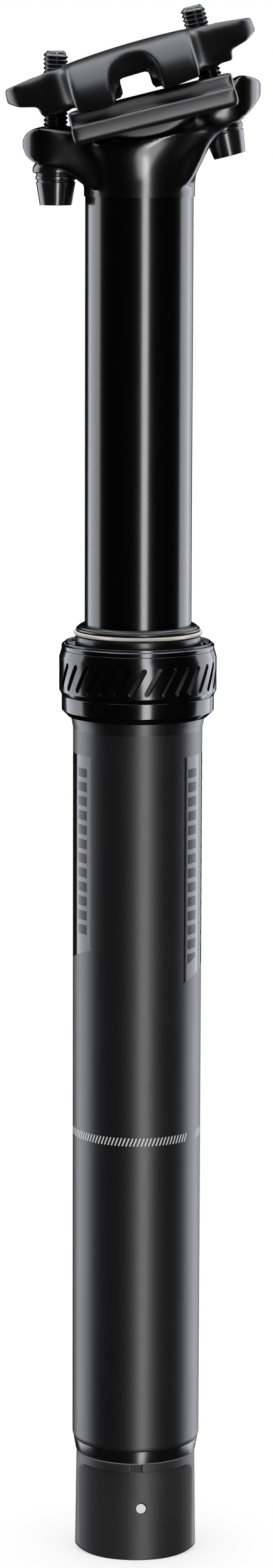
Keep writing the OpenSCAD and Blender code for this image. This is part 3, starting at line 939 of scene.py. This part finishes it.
@dataclass
class OuterTube:
    """The tube that goes into the bicycle frame, with its limit mark."""

    radius: float = 15.45
    bore: float = 13.9
    foot_h: float = 28.0
    flare_h: float = 203.4
    flare_top_h: float = 206.2
    flare_r: float = 16.0
    spigot_top_h: float = 218.8
    spigot_r: float = 15.9
    seat_r: float = 14.2
    seat_h: float = 195.0
    keyway_foot_r: float = 12.0
    keyway_foot_h: float = 34.0
    keyway_r: float = 14.5
    keyway_w: float = 3.1
    mark_h: float = 105.1
    mark_tall: float = 1.95
    mark_wide: float = 0.33
    mark_lean: float = 0.75
    mark_pitch: float = 3.37
    mark_gap: float = 14.0
    mark_start: float = -21.0

    def build(self) -> None:
        """Makes the tube, its inner keyways and its limit mark."""
        outline = rounded(
            [
                (self.radius - 0.25, self.foot_h), (self.radius, self.foot_h + 1),
                (self.radius, self.flare_h), (self.flare_r, self.flare_top_h),
                (self.spigot_r, self.flare_top_h + 0.02), (self.spigot_r, self.spigot_top_h),
                (self.seat_r, self.spigot_top_h), (self.seat_r, self.seat_h),
                (self.bore, self.seat_h), (self.bore, self.foot_h),
            ],
            0.25,
        )
        tools = [
            wall_box(
                f"keyway_cutter_{i}", i, self.keyway_foot_r, self.keyway_r, self.keyway_w,
                self.keyway_foot_h, self.seat_h,
            )
            for i in range(3)
        ]
        tube = cut(turned("outer_tube_body", outline), tools)
        settle(tube, Look.TUBE, "satin_black_tube", "lower_post", "outer_tube")
        settle(self.mark(), Look.MARK, "satin_black_tube", "lower_post")

    def mark(self) -> bpy.types.Object:
        """The row of slanted white strokes at the insertion limit."""
        rows = 4
        skin = self.radius + 0.012
        points = []
        for k in range(rows + 1):
            t = k / rows - 0.5
            for side in (-0.5, 0.5):
                turn = (t * self.mark_lean + side * self.mark_wide) / skin
                points.append(
                    in_frame(
                        skin * math.cos(turn), skin * math.sin(turn),
                        self.mark_h + t * self.mark_tall,
                    )
                )
        faces = [(2 * k, 2 * k + 1, 2 * k + 3, 2 * k + 2) for k in range(rows)]
        stroke = piece_of("limit_stroke", points, faces)
        count = int((360.0 - self.mark_gap) / self.mark_pitch)
        return ring_of(
            "insertion_limit_mark", stroke, Look.MARK, count, self.mark_pitch, self.mark_start
        )


@dataclass
class SealHead:
    """Plain ring, slotted collar, retainer, wiper seal and its garter spring."""

    ring_foot_h: float = 206.2
    ring_top_h: float = 211.3
    ring_r: float = 18.15
    collar_r: float = 18.75
    collar_top_h: float = 222.3
    retainer_r: float = 18.2
    retainer_top_h: float = 224.0
    seal_r: float = 15.0
    thread_r: float = 15.9
    slots: int = 32
    slot_lean: float = 30.0
    slot_half: float = 3.1
    slot_r: float = 0.62
    slot_depth: float = 0.8
    teeth: int = 150
    garter_h: float = 226.2
    garter_r: float = 14.95
    turns: int = 400
    coil_r: float = 0.37
    coil_rise: float = 0.09
    wire_r: float = 0.1
    lip_top_h: float = 228.1
    slide_r: float = 12.75

    def build(self) -> None:
        """Makes every ring of the seal head."""
        band_foot, band_top = self.ring_top_h + 1.2, self.ring_top_h + 9.1
        stop = turned(
            "stop_ring_turned",
            rounded(
                [
                    (self.ring_r - 1.5, self.ring_foot_h), (self.ring_r, self.ring_foot_h + 1.5),
                    (self.ring_r, self.ring_top_h), (self.thread_r, self.ring_top_h),
                    (self.thread_r, self.ring_foot_h),
                ],
                0.16,
            ),
        )
        settle(stop, Look.COLLAR, "gloss_black_anodised", "lower_post", "stop_ring")
        collar = turned(
            "seal_collar_turned",
            rounded(
                [
                    (self.ring_r, self.ring_top_h + 0.04), (self.collar_r, band_foot),
                    (self.collar_r, band_top), (self.retainer_r, self.collar_top_h),
                    (self.seal_r, self.collar_top_h), (self.seal_r, self.ring_top_h + 8.5),
                    (self.thread_r, self.ring_top_h + 8.5),
                    (self.thread_r, self.ring_top_h + 0.04),
                ],
                0.1,
            ),
            256,
        )
        cutters = ring_of(
            "slot_cutters", self.slot(), Look.COLLAR, self.slots, 360.0 / self.slots
        )
        collar = cut(collar, [cutters])
        settle(collar, Look.COLLAR, "gloss_black_anodised", "lower_post", "seal_collar")
        top, r = self.retainer_top_h, self.retainer_r
        retainer = turned(
            "retainer_ring_turned",
            rounded(
                [
                    (r, self.collar_top_h + 0.05), (r, top - 0.75), (r - 0.3, top - 0.45),
                    (r - 0.55, top - 0.75), (r - 0.72, top - 0.75), (r - 0.78, top - 0.05),
                    (r - 1.3, top - 0.05), (r - 1.4, top - 1.15), (self.seal_r + 0.02, top - 1.15),
                    (self.seal_r + 0.02, self.collar_top_h + 0.05),
                ],
                0.12,
            ),
        )
        settle(retainer, Look.COLLAR, "gloss_black_anodised", "lower_post", "seal_retainer")
        teeth = ring_of(
            "retainer_teeth", self.tooth(), Look.TEETH, self.teeth, 360.0 / self.teeth
        )
        settle(teeth, Look.TEETH, "gloss_black_anodised", "lower_post")
        self.wiper()
        coils = ring_of(
            "garter_spring_coils", self.coil(), Look.SPRING, self.turns, 360.0 / self.turns
        )
        settle(coils, Look.SPRING, "pale_spring_steel", "lower_post", "garter_spring")

    def slot(self) -> bpy.types.Object:
        """One leaning slot with a small bevel at its rim, as a cutter on the +X side."""
        lean, mid, ends = math.radians(self.slot_lean), self.ring_top_h + 5.15, 12
        rings: list[list[Vector]] = []
        for r, grow in (
            (self.collar_r - self.slot_depth, 0.0), (self.collar_r - 0.12, 0.0),
            (self.collar_r + 0.3, 0.34),
        ):
            rings.append([])
            for k in range(2 * ends + 2):
                side = 1.0 if k <= ends else -1.0
                turn = math.pi * (k if k <= ends else k - 1) / ends
                across = (self.slot_r + grow) * math.cos(turn)
                along = side * self.slot_half + (self.slot_r + grow) * math.sin(turn)
                y = across * math.cos(lean) + along * math.sin(lean)
                rise = along * math.cos(lean) - across * math.sin(lean)
                rings[-1].append(in_frame(r, y, mid + rise))
        return prism("slot_cutter", rings)

    def tooth(self) -> bpy.types.Object:
        """One small upright tooth on the outer side of the retainer's ridge."""
        outline = rounded([(-0.2, 0.0), (0.2, 0.0), (0.14, 0.42), (-0.14, 0.42)], 0.08, 2)
        rings = [
            [in_frame(r, y, self.retainer_top_h - 0.66 + h) for y, h in outline]
            for r in (self.retainer_r - 1.1, self.retainer_r - 0.58)
        ]
        return prism("retainer_tooth", rings)

    def coil(self) -> bpy.types.Object:
        """One turn of the garter spring's wire."""
        around, sides, wire = 12, 5, self.wire_r
        points = []
        for k in range(around):
            a = math.tau * k / around
            for j in range(sides):
                b = math.tau * j / sides
                r = self.coil_r + wire * math.cos(b)
                points.append(
                    in_frame(
                        self.garter_r + r * math.cos(a),
                        wire * math.sin(b) + self.coil_rise * math.sin(a),
                        self.garter_h + r * math.sin(a),
                    )
                )
        faces = [
            (
                k * sides + j, (k + 1) % around * sides + j,
                (k + 1) % around * sides + (j + 1) % sides, k * sides + (j + 1) % sides,
            )
            for k in range(around)
            for j in range(sides)
        ]
        return piece_of("garter_coil", points, faces, 180.0)

    def wiper(self) -> None:
        """The rubber wiper with its spring groove and its fine lips."""
        foot, g = self.collar_top_h - 2.4, self.garter_h
        outline = rounded(
            [
                (self.slide_r + 0.02, foot), (self.seal_r, foot), (self.seal_r, g - 1.4),
                (14.85, g - 0.8), (14.5, g - 0.55), (14.4, g), (14.5, g + 0.5),
                (14.75, g + 0.7), (14.7, g + 1.1), (14.3, g + 1.25), (14.2, g + 1.5),
                (13.6, self.lip_top_h), (self.slide_r + 0.05, self.lip_top_h),
            ],
            0.16,
        )
        wiper = turned("wiper_seal_moulded", outline)
        settle(wiper, Look.RUBBER, "black_rubber", "lower_post", "wiper_seal")


@dataclass
class Foot:
    """The end ring and the moulded actuator housing at the foot of the post."""

    ring_foot_h: float = 24.7
    ring_top_h: float = 28.0
    ring_foot_r: float = 14.6
    ring_top_r: float = 15.2
    cheek_top_h: float = 22.7
    tab_x: float = 0.2
    tab_w: float = 2.4

    def build(self) -> None:
        """Makes the end ring with its index tab, and the housing."""
        outline = rounded(
            [
                (self.ring_foot_r, self.ring_foot_h), (self.ring_top_r, self.ring_top_h),
                (13.9, self.ring_top_h), (13.9, 34.0), (12.6, 34.0), (12.6, 30.0), (4.0, 30.0),
                (4.0, self.ring_foot_h), (10.5, self.ring_foot_h), (10.5, 18.7), (12.5, 18.7),
                (12.5, self.ring_foot_h),
            ],
            0.12,
        )
        ring = joined("end_ring_and_tab", [turned("end_ring_turned", outline), self.tab()])
        shade(ring)
        settle(ring, Look.RIM, "gloss_black_anodised", "lower_post", "end_cap")
        housing = softened(copy_of("actuator_housing", "actuator_housing_moulded"), 0.22, 4)
        settle(housing, Look.HOUSING, "black_composite", "lower_post", "actuator_housing")
        dress("pivot_pin", Look.NUT)

    def tab(self) -> bpy.types.Object:
        """The index tab that drops from the ring into the housing's notch."""
        half = self.tab_w / 2
        outline = rounded(
            [
                (self.tab_x - half, self.cheek_top_h), (self.tab_x + half, self.cheek_top_h),
                (self.tab_x + half, self.ring_foot_h + 0.3),
                (self.tab_x - half, self.ring_foot_h + 0.3),
            ],
            0.2,
        )
        return slab("index_tab", outline, -14.4, -11.6, "Y")


@dataclass
class Stanchion:
    """The sliding tube."""

    radius: float = 12.7
    bore: float = 11.3
    foot_h: float = 137.0
    key_foot_h: float = 153.0
    key_top_h: float = 165.0
    key_r: float = 11.8
    pocket_r: float = 13.5
    pocket_w: float = 3.0

    def build(self) -> None:
        """Makes the stanchion with its key pockets."""
        outline = [
            (self.radius - 0.3, self.foot_h), (self.radius, self.foot_h + 0.3),
            (self.radius, 150.0), (self.radius, 168.0), (self.radius, HEAD_H),
            (self.bore, HEAD_H), (self.bore, 168.0), (self.bore, 150.0),
            (self.bore, 139.8), (self.bore + 0.5, 139.8), (self.bore + 0.5, 138.6),
            (self.bore, 138.6), (self.bore, self.foot_h),
        ]
        pockets = [
            wall_box(
                f"key_pocket_{i}", i, self.key_r, self.pocket_r, self.pocket_w,
                self.key_foot_h, self.key_top_h,
            )
            for i in range(3)
        ]
        tube = cut(turned("stanchion_tube", outline, 256), pockets)
        settle(tube, Look.STANCHION, "gloss_black_stanchion", "upper_post", "stanchion")


@dataclass
class BoltPlace:
    """Where a clamp bolt stands: its seat, its lean and the length over the seat."""

    name: str
    x: float
    h: float
    lean: float
    length: float

    def matrix(self) -> Matrix:
        """Places a piece that was made upright with its seat at the foot's level."""
        seat = in_frame(self.x, 0.0, self.h)
        away = Matrix.Translation(seat) @ Matrix.Rotation(math.radians(self.lean), 4, "Y")
        return away @ Matrix.Translation((0.0, 0.0, -FOOT_Z))


BALL_R = 6.0
BALL_DEPTH = 2.9
FRONT = BoltPlace("front", -19.6, HEAD_H + 6.9, 0.0, 26.7)
REAR = BoltPlace("rear", 18.8, HEAD_H + 18.2, -14.8, 26.6)


@dataclass
class HeadForging:
    """The forged head: a round neck that spreads into two arms under the clamp."""

    card_radiance: float = 5.5
    card_size: Point = (0.09, 0.4)
    card_place: tuple[float, float, float] = (0.03, -0.23, 0.1)
    voxel: float = 0.34
    rounds: int = 14
    blend_rounds: int = 300
    tilt: float = 14.0
    neck_r: float = 13.0
    arc_r: float = 17.9
    arc_h: float = 2.0
    rise: float = 20.0
    reach: float = 24.4
    half_x: float = 20.5
    half_y: float = 15.0
    lip_y: float = 18.6
    arm_y: float = 9.5
    arm_reach: float = 28.2
    seat_r: float = 18.3
    seat_x: float = -0.7106
    seat_over: float = 31.618
    spigot_r: float = 11.3
    outline: tuple[Point, ...] = (
        (14.2, 7.4), (16.6, 12.2), (20.2, 16.2), (24.4, 18.7), (26.9, 21.4),
        (28.7, 24.6), (28.3, 26.4), (25.8, 27.7), (22.3, 27.6), (15.2, 22.6), (2.0, 19.3),
        (-10.6, 16.2), (-16.0, 16.2), (-21.5, 16.2), (-25.2, 15.3), (-26.9, 13.7),
        (-27.2, 11.5), (-25.9, 8.9), (-23.0, 7.3), (-18.5, 6.4), (-15.2, 4.4), (-11.0, 2.0),
        (0.0, 2.0), (11.0, 3.0),
    )

    def build(self) -> None:
        """Makes the forging, then cuts its seat, bolt holes and bores."""
        rough = joined("head_forging", [*self.neck(), self.arms(), self.spigot()])
        soft = softened(rough, self.voxel, self.rounds, self.blend, self.blend_rounds)
        tools = [self.seat(), *self.holes(FRONT), *self.holes(REAR), self.bore(), self.step()]
        head = cut(soft, tools)
        settle(head, Look.HEAD, "gloss_black_head", "upper_post", "head")
        self.card(head)

    def card(self, head: bpy.types.Object) -> None:
        """A low white card in front that only the head reflects."""
        made = area_light("head card", *self.card_size, self.card_radiance)
        made.location = self.card_place
        made.rotation_euler = (math.pi, 0.0, 0.0)
        lit = bpy.data.collections.new("lit by the head card")
        lit.objects.link(head)
        made.light_linking.receiver_collection = lit

    def blend(self, point: Vector) -> float:
        """How much a point takes part in the wide blend between neck and arms."""
        h = (point.z - FOOT_Z) / MM - HEAD_H
        near = share(23.0 - abs(point.x) / MM, 0.0, 5.0)
        return share(abs(point.y) / MM, 3.0, 7.0) * share(h, 1.5, 4.5) * near

    def neck(self) -> list[bpy.types.Object]:
        """The trumpet-shaped neck: a high core and a lower round lip, both cut flat on top."""
        last = math.acos((self.neck_r + self.arc_r - self.reach) / self.arc_r)
        curve = [
            (
                self.neck_r + self.arc_r * (1 - math.cos(last * k / 24)),
                HEAD_H + self.arc_h + self.arc_r * math.sin(last * k / 24),
            )
            for k in range(25)
        ]
        outline = [
            (0.0, HEAD_H - 3), (self.neck_r, HEAD_H - 3), *curve,
            (self.reach, HEAD_H + self.rise), (0.0, HEAD_H + self.rise),
        ]
        made = []
        for part, half_y, top_w in (("core", self.half_y, 6.5), ("lip", self.lip_y, 8.6)):
            plan = [(x * self.half_x, y * half_y) for x, y in circle(1.0, 96)]
            block = slab("neck_block", plan, HEAD_H - 4, HEAD_H + 40, "Z")
            tilt = math.radians(self.tilt)
            low = [
                (
                    2.0 + u * math.cos(tilt) + top_w * math.sin(tilt),
                    HEAD_H + 22.4 + u * math.sin(tilt) - top_w * math.cos(tilt),
                )
                for u in (-40.0, 40.0)
            ]
            under = [*low, (40.0, HEAD_H - 20), (-40.0, HEAD_H - 20)]
            tools = [block, slab("neck_under", under, -30, 30, "Y")]
            made.append(cut(turned("head_neck_" + part, outline, 192), tools, Cut.COMMON))
        return made

    def arms(self) -> bpy.types.Object:
        """Both arms: the side view and the plan view have only this in common."""
        side = [(x, HEAD_H + h) for x, h in through(self.outline)]
        half = self.arm_y
        plan = [
            (end + half * math.sin(turn), -half * math.cos(turn))
            for start, end in ((0.0, self.arm_reach - half), (180.0, half - self.arm_reach))
            for turn in (math.radians(start + 7.5 * k) for k in range(25))
        ]
        block = slab("arm_plan", plan, HEAD_H - 5, HEAD_H + 40, "Z")
        arms = slab("head_arms", side, -self.arm_y - 2, self.arm_y + 2, "Y")
        return cut(arms, [block], Cut.COMMON)

    def spigot(self) -> bpy.types.Object:
        """The spigot that is bonded into the stanchion."""
        outline = circle(self.spigot_r + 0.4, 96)
        return slab("head_spigot", outline, HEAD_H - 14, HEAD_H + 3, "Z")

    def step(self) -> bpy.types.Object:
        """The step between neck and spigot, as a cutter."""
        low, high = HEAD_H - 17, HEAD_H
        outline = [(self.spigot_r, low), (20.0, low), (20.0, high), (self.spigot_r, high)]
        return turned("step_cutter", outline, 192)

    def seat(self) -> bpy.types.Object:
        """The round seat of the cradle, as a cutter."""
        outline = circle(self.seat_r, 256, self.seat_x, HEAD_H + self.seat_over)
        return slab("seat_cutter", outline, -40, 40, "Y")

    def holes(self, place: BoltPlace) -> list[bpy.types.Object]:
        """The slotted hole, the ball seat and the head room of one bolt, as cutters."""
        long = [
            (x + math.copysign(0.6, x), y) for x, y in circle(3.5, 64) if abs(x) > 1e-6
        ]
        tools = [slab(place.name + "_slot", long, 0.0, 30.0, "Z")]
        r = BALL_R + 0.1
        ball = [
            (r * math.sin(a), -BALL_DEPTH - r * math.cos(a))
            for a in (math.pi * k / 40 for k in range(41))
        ]
        tools.append(turned(place.name + "_ball", ball, 96))
        tools.append(slab(place.name + "_room", circle(5.8, 96), -30.0, -0.9, "Z"))
        for tool in tools:
            tool.data.transform(place.matrix())
        return tools

    def bore(self) -> bpy.types.Object:
        """The blind bore in the spigot, with the cylinder's recess, as a cutter."""
        outline = [
            (0.0, HEAD_H - 15), (9.5, HEAD_H - 15), (9.5, HEAD_H - 11), (6.0, HEAD_H - 11),
            (6.0, HEAD_H + 4), (0.0, HEAD_H + 4),
        ]
        return turned("bore_cutter", outline, 96)


@dataclass
class SaddleClamp:
    """The lower cradle, the upper clamp and the cross nuts."""

    voxel: float = 0.3
    rounds: int = 22
    bar_rounds: int = 60
    jaw_rounds: int = 200

    def build(self) -> None:
        """Makes both halves of the clamp and dresses the nuts."""
        cradle = softened(
            copy_of("lower_cradle", "cradle_forged"), self.voxel, self.rounds,
            self.bar_blend, self.bar_rounds,
        )
        settle(cradle, Look.CLAMP, "satin_black_clamp", "saddle_clamp", "lower_cradle")
        upper = softened(
            copy_of("upper_clamp", "upper_clamp_forged"), self.voxel, self.rounds,
            self.jaw_blend, self.jaw_rounds,
        )
        settle(upper, Look.CLAMP, "satin_black_clamp", "saddle_clamp", "upper_clamp")
        keep_dark(upper, "front strip")
        dress("front_barrel_nut", Look.NUT)
        dress("rear_barrel_nut", Look.NUT)

    def bar_blend(self, point: Vector) -> float:
        """How much a point of the cradle takes part in the rounding of its two bars."""
        return share(abs(point.y) / MM, 12.0, 14.0)

    def jaw_blend(self, point: Vector) -> float:
        """How much a point takes part in the wide blend between jaws and tongues."""
        far = max(share(abs(point.x) / MM, 8.0, 12.0), 0.15)
        return share(abs(point.y) / MM, 8.3, 9.3) * far


@dataclass
class ClampBolt:
    """One socket-head clamp bolt with its thread and its washer."""

    place: BoltPlace
    core_r: float = 2.42
    crest_r: float = 2.92
    pitch: float = 1.0
    thread_foot: float = 3.0
    washer_h: float = 1.5
    head_l: float = 7.5
    socket: float = 5.0

    def build(self) -> None:
        """Makes the bolt, its thread and its washer."""
        name, body = self.place.name, self.place.name + "_fastener"
        settle(self.shank(), Look.OXIDE, "black_oxide_steel", body, name + "_bolt")
        settle(self.thread(), Look.OXIDE, "black_oxide_steel", body)
        settle(self.washer(), Look.OXIDE, "black_oxide_steel", body, name + "_washer")

    def shank(self) -> bpy.types.Object:
        """Head with its grooves and hexagon socket, and the shank's core."""
        top, low = -self.washer_h, -self.washer_h - self.head_l
        outline = rounded(
            [
                (0.0, low), (3.75, low), (4.62, top - 2.2), (4.4, top - 2.0), (4.4, top - 1.7),
                (4.75, top - 1.5), (4.75, top - 0.75), (4.5, top - 0.6), (4.5, top - 0.4),
                (4.75, top - 0.25), (4.75, top), (2.75, top), (2.75, self.thread_foot - 0.5),
                (self.core_r, self.thread_foot), (self.core_r, self.place.length - 0.5),
                (self.core_r - 0.5, self.place.length), (0.0, self.place.length),
            ],
            0.14,
        )
        bolt = turned(self.place.name + "_bolt_turned", outline, 96)
        hexagon = circle(self.socket / 2 / math.cos(math.pi / 6), 6)
        bolt = cut(bolt, [slab("socket_cutter", hexagon, low - 1, low + 4.0, "Z")])
        bolt.data.transform(self.place.matrix())
        return bolt

    def thread(self) -> bpy.types.Object:
        """The thread's ridge, swept along a helix with Geometry Nodes."""

        def recipe(graph: Graph, inputs: dict[str, Wire]) -> Wire:
            """Sweeps a diamond section along a spiral of constant radius."""
            spiral = graph.node(
                "GeometryNodeCurveSpiral", None,
                {
                    "Resolution": inputs["Steps per turn"], "Rotations": inputs["Turns"],
                    "Start Radius": inputs["Radius"], "End Radius": inputs["Radius"],
                    "Height": inputs["Turns"] * inputs["Pitch"],
                },
            )
            upright = graph.node("GeometryNodeSetCurveNormal", {"mode": "Z_UP"}, {0: spiral})
            section = graph.node(
                "GeometryNodeCurvePrimitiveCircle", None,
                {"Resolution": inputs["Corners"], "Radius": inputs["Ridge"]},
            )
            return graph.node(
                "GeometryNodeCurveToMesh", None,
                {"Curve": upright, "Profile Curve": section, "Fill Caps": True},
            )

        turns = (self.place.length - 0.9 - self.thread_foot) / self.pitch
        made = grown(
            self.place.name + "_bolt_thread",
            {
                "Steps per turn": 40, "Turns": turns, "Radius": self.core_r * MM,
                "Pitch": self.pitch * MM, "Corners": 4,
                "Ridge": (self.crest_r - self.core_r) * MM, "Finish": finish(Look.OXIDE),
            },
            recipe,
        )
        lift = Matrix.Translation((0.0, 0.0, FOOT_Z + (self.thread_foot + 0.2) * MM))
        made.data.transform(self.place.matrix() @ lift)
        shade(made)
        return made

    def washer(self) -> bpy.types.Object:
        """The washer with a flat foot and a domed top."""
        dome = [
            (BALL_R * math.sin(a), BALL_R * math.cos(a) - BALL_DEPTH)
            for a in (math.radians(27.5 + 3.4 * k) for k in range(11))
        ]
        outline = [(2.78, -self.washer_h), (2.78, dome[0][1]), *dome]
        outline += [(5.4, -0.3), (5.4, -self.washer_h + 0.2), (5.2, -self.washer_h)]
        made = turned(self.place.name + "_washer_domed", outline, 96)
        made.data.transform(self.place.matrix())
        return made


@dataclass
class Internals:
    """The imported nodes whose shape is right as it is."""

    looks: tuple[tuple[Look, tuple[str, ...]], ...] = (
        (Look.RUBBER, (
            "bottom_bumper", "inner_seal", "piston_ring", "rod_seal", "top_out_bumper",
            "floating_piston_ring",
        )),
        (Look.GLIDE, ("top_bushing", "lower_bushing")),
        (Look.CHROME, ("gas_rod",)),
        (Look.ALUMINIUM, (
            "rod_nut", "gas_piston", "gas_cylinder", "cylinder_cap", "rod_seal_head",
            "floating_piston",
        )),
        (Look.BRIGHT, ("valve_pin", "return_spring", "cylinder_circlip")),
        (Look.BRASS, ("guide_keys", "cable_anchor")),
        (Look.LEVER, ("actuator_lever",)),
        (Look.OXIDE, ("anchor_screw",)),
    )

    def build(self) -> None:
        """Dresses each node."""
        for look, nodes in self.looks:
            for node in nodes:
                dress(node, look)


# ---- Studio ----


@dataclass
class Panel:
    """A soft light panel that faces the post."""

    name: str
    azimuth: float
    away: float
    height: float
    wide: float
    tall: float
    radiance: float
    tint: Colour = (0.92, 0.93, 1.0)

    def build(self) -> None:
        """Makes the panel; azimuth 0 is the camera's side, and the power follows the area."""
        turn = math.radians(self.azimuth)
        made = area_light(self.name, self.wide, self.tall, self.radiance, self.tint)
        made.location = (self.away * math.sin(turn), -self.away * math.cos(turn), self.height)
        level = self.height if self.away > 0.6 else 0.2
        aim = Vector((0.0, 0.0, level)) - made.location
        made.rotation_euler = aim.to_track_quat("-Z", "Y").to_euler()


@dataclass
class Studio:
    """Pale floor, plain surroundings, soft panels and the camera."""

    panels: tuple[Panel, ...] = (
        Panel("left panel", -114.0, 1.3, 0.4, 1.08, 2.3, 4.0),
        Panel("right panel", 119.0, 1.3, 0.4, 0.92, 2.3, 4.2),
        Panel("right back panel", 147.0, 1.3, 0.4, 0.45, 2.3, 1.7),
        Panel("front strip", 13.0, 1.7, 0.0, 0.38, 3.8, 12.0, (0.98, 0.98, 1.0)),
        Panel("top panel", 0.0, 0.1, 1.4, 1.9, 1.9, 4.6),
    )
    focal_mm: float = 100.8
    camera_x: float = -0.00024
    camera_y: float = -1.0371
    camera_z: float = 0.25615
    pitch: float = 9.4
    roll: float = 0.0032

    def build(self) -> None:
        """Makes everything that isn't part of the post."""
        for panel in self.panels:
            panel.build()
        self.floor()
        self.surroundings()
        self.camera()

    def floor(self) -> None:
        """A wide pale floor under the foot."""
        mesh = bpy.data.meshes.new("floor")
        far, level = 14.0, CAD_BOX[0].z
        mesh.from_pydata(
            [(-far, -far, level), (far, -far, level), (far, far, level), (-far, far, level)],
            [], [(0, 1, 2, 3)],
        )
        made = placed("floor", mesh)
        matt = bpy.data.materials.new("pale floor")
        graph = Graph.of(matt)
        shader = graph.node(
            "ShaderNodeBsdfPrincipled", None,
            {
                "Base Color": (0.5, 0.5, 0.5, 1.0), "Roughness": 1.0, "Specular IOR Level": 0.0,
                "Emission Color": (1.0, 1.0, 1.0, 1.0), "Emission Strength": 0.56,
            },
        )
        graph.end("ShaderNodeOutputMaterial", shader)
        mesh.materials.append(matt)
        made.visible_glossy = False
        made.visible_shadow = False

    def surroundings(self) -> None:
        """White surroundings that light the post evenly."""
        world = bpy.data.worlds.new("studio")
        graph = Graph.of(world)
        shade_of = graph.node(
            "ShaderNodeBackground", None, {"Color": (1.0, 1.0, 1.0, 1.0), "Strength": 1.0}
        )
        graph.end("ShaderNodeOutputWorld", shade_of)
        world.cycles_visibility.glossy = False
        bpy.context.scene.world = world
        bpy.context.scene.view_settings.view_transform = "Standard"

    def camera(self) -> None:
        """The camera, a little above the post and looking slightly down."""
        lens = bpy.data.cameras.new("camera")
        lens.sensor_width = 36.0
        lens.lens = self.focal_mm
        lens.clip_start, lens.clip_end = 0.05, 60.0
        made = placed("camera", lens)
        made.location = (self.camera_x, self.camera_y, self.camera_z)
        aim = Matrix.Rotation(math.radians(90.0 - self.pitch), 4, "X")
        made.rotation_euler = (aim @ Matrix.Rotation(self.roll, 4, "Z")).to_euler()
        bpy.context.scene.camera = made


def main() -> None:
    """Builds the studio and every sub-assembly."""
    Studio().build()
    for assembly in (
        OuterTube(), SealHead(), Foot(), Stanchion(), HeadForging(), SaddleClamp(),
        ClampBolt(FRONT), ClampBolt(REAR), Internals(),
    ):
        LOG.info("building %s", type(assembly).__name__)
        assembly.build()


if __name__ == "__main__":
    main()
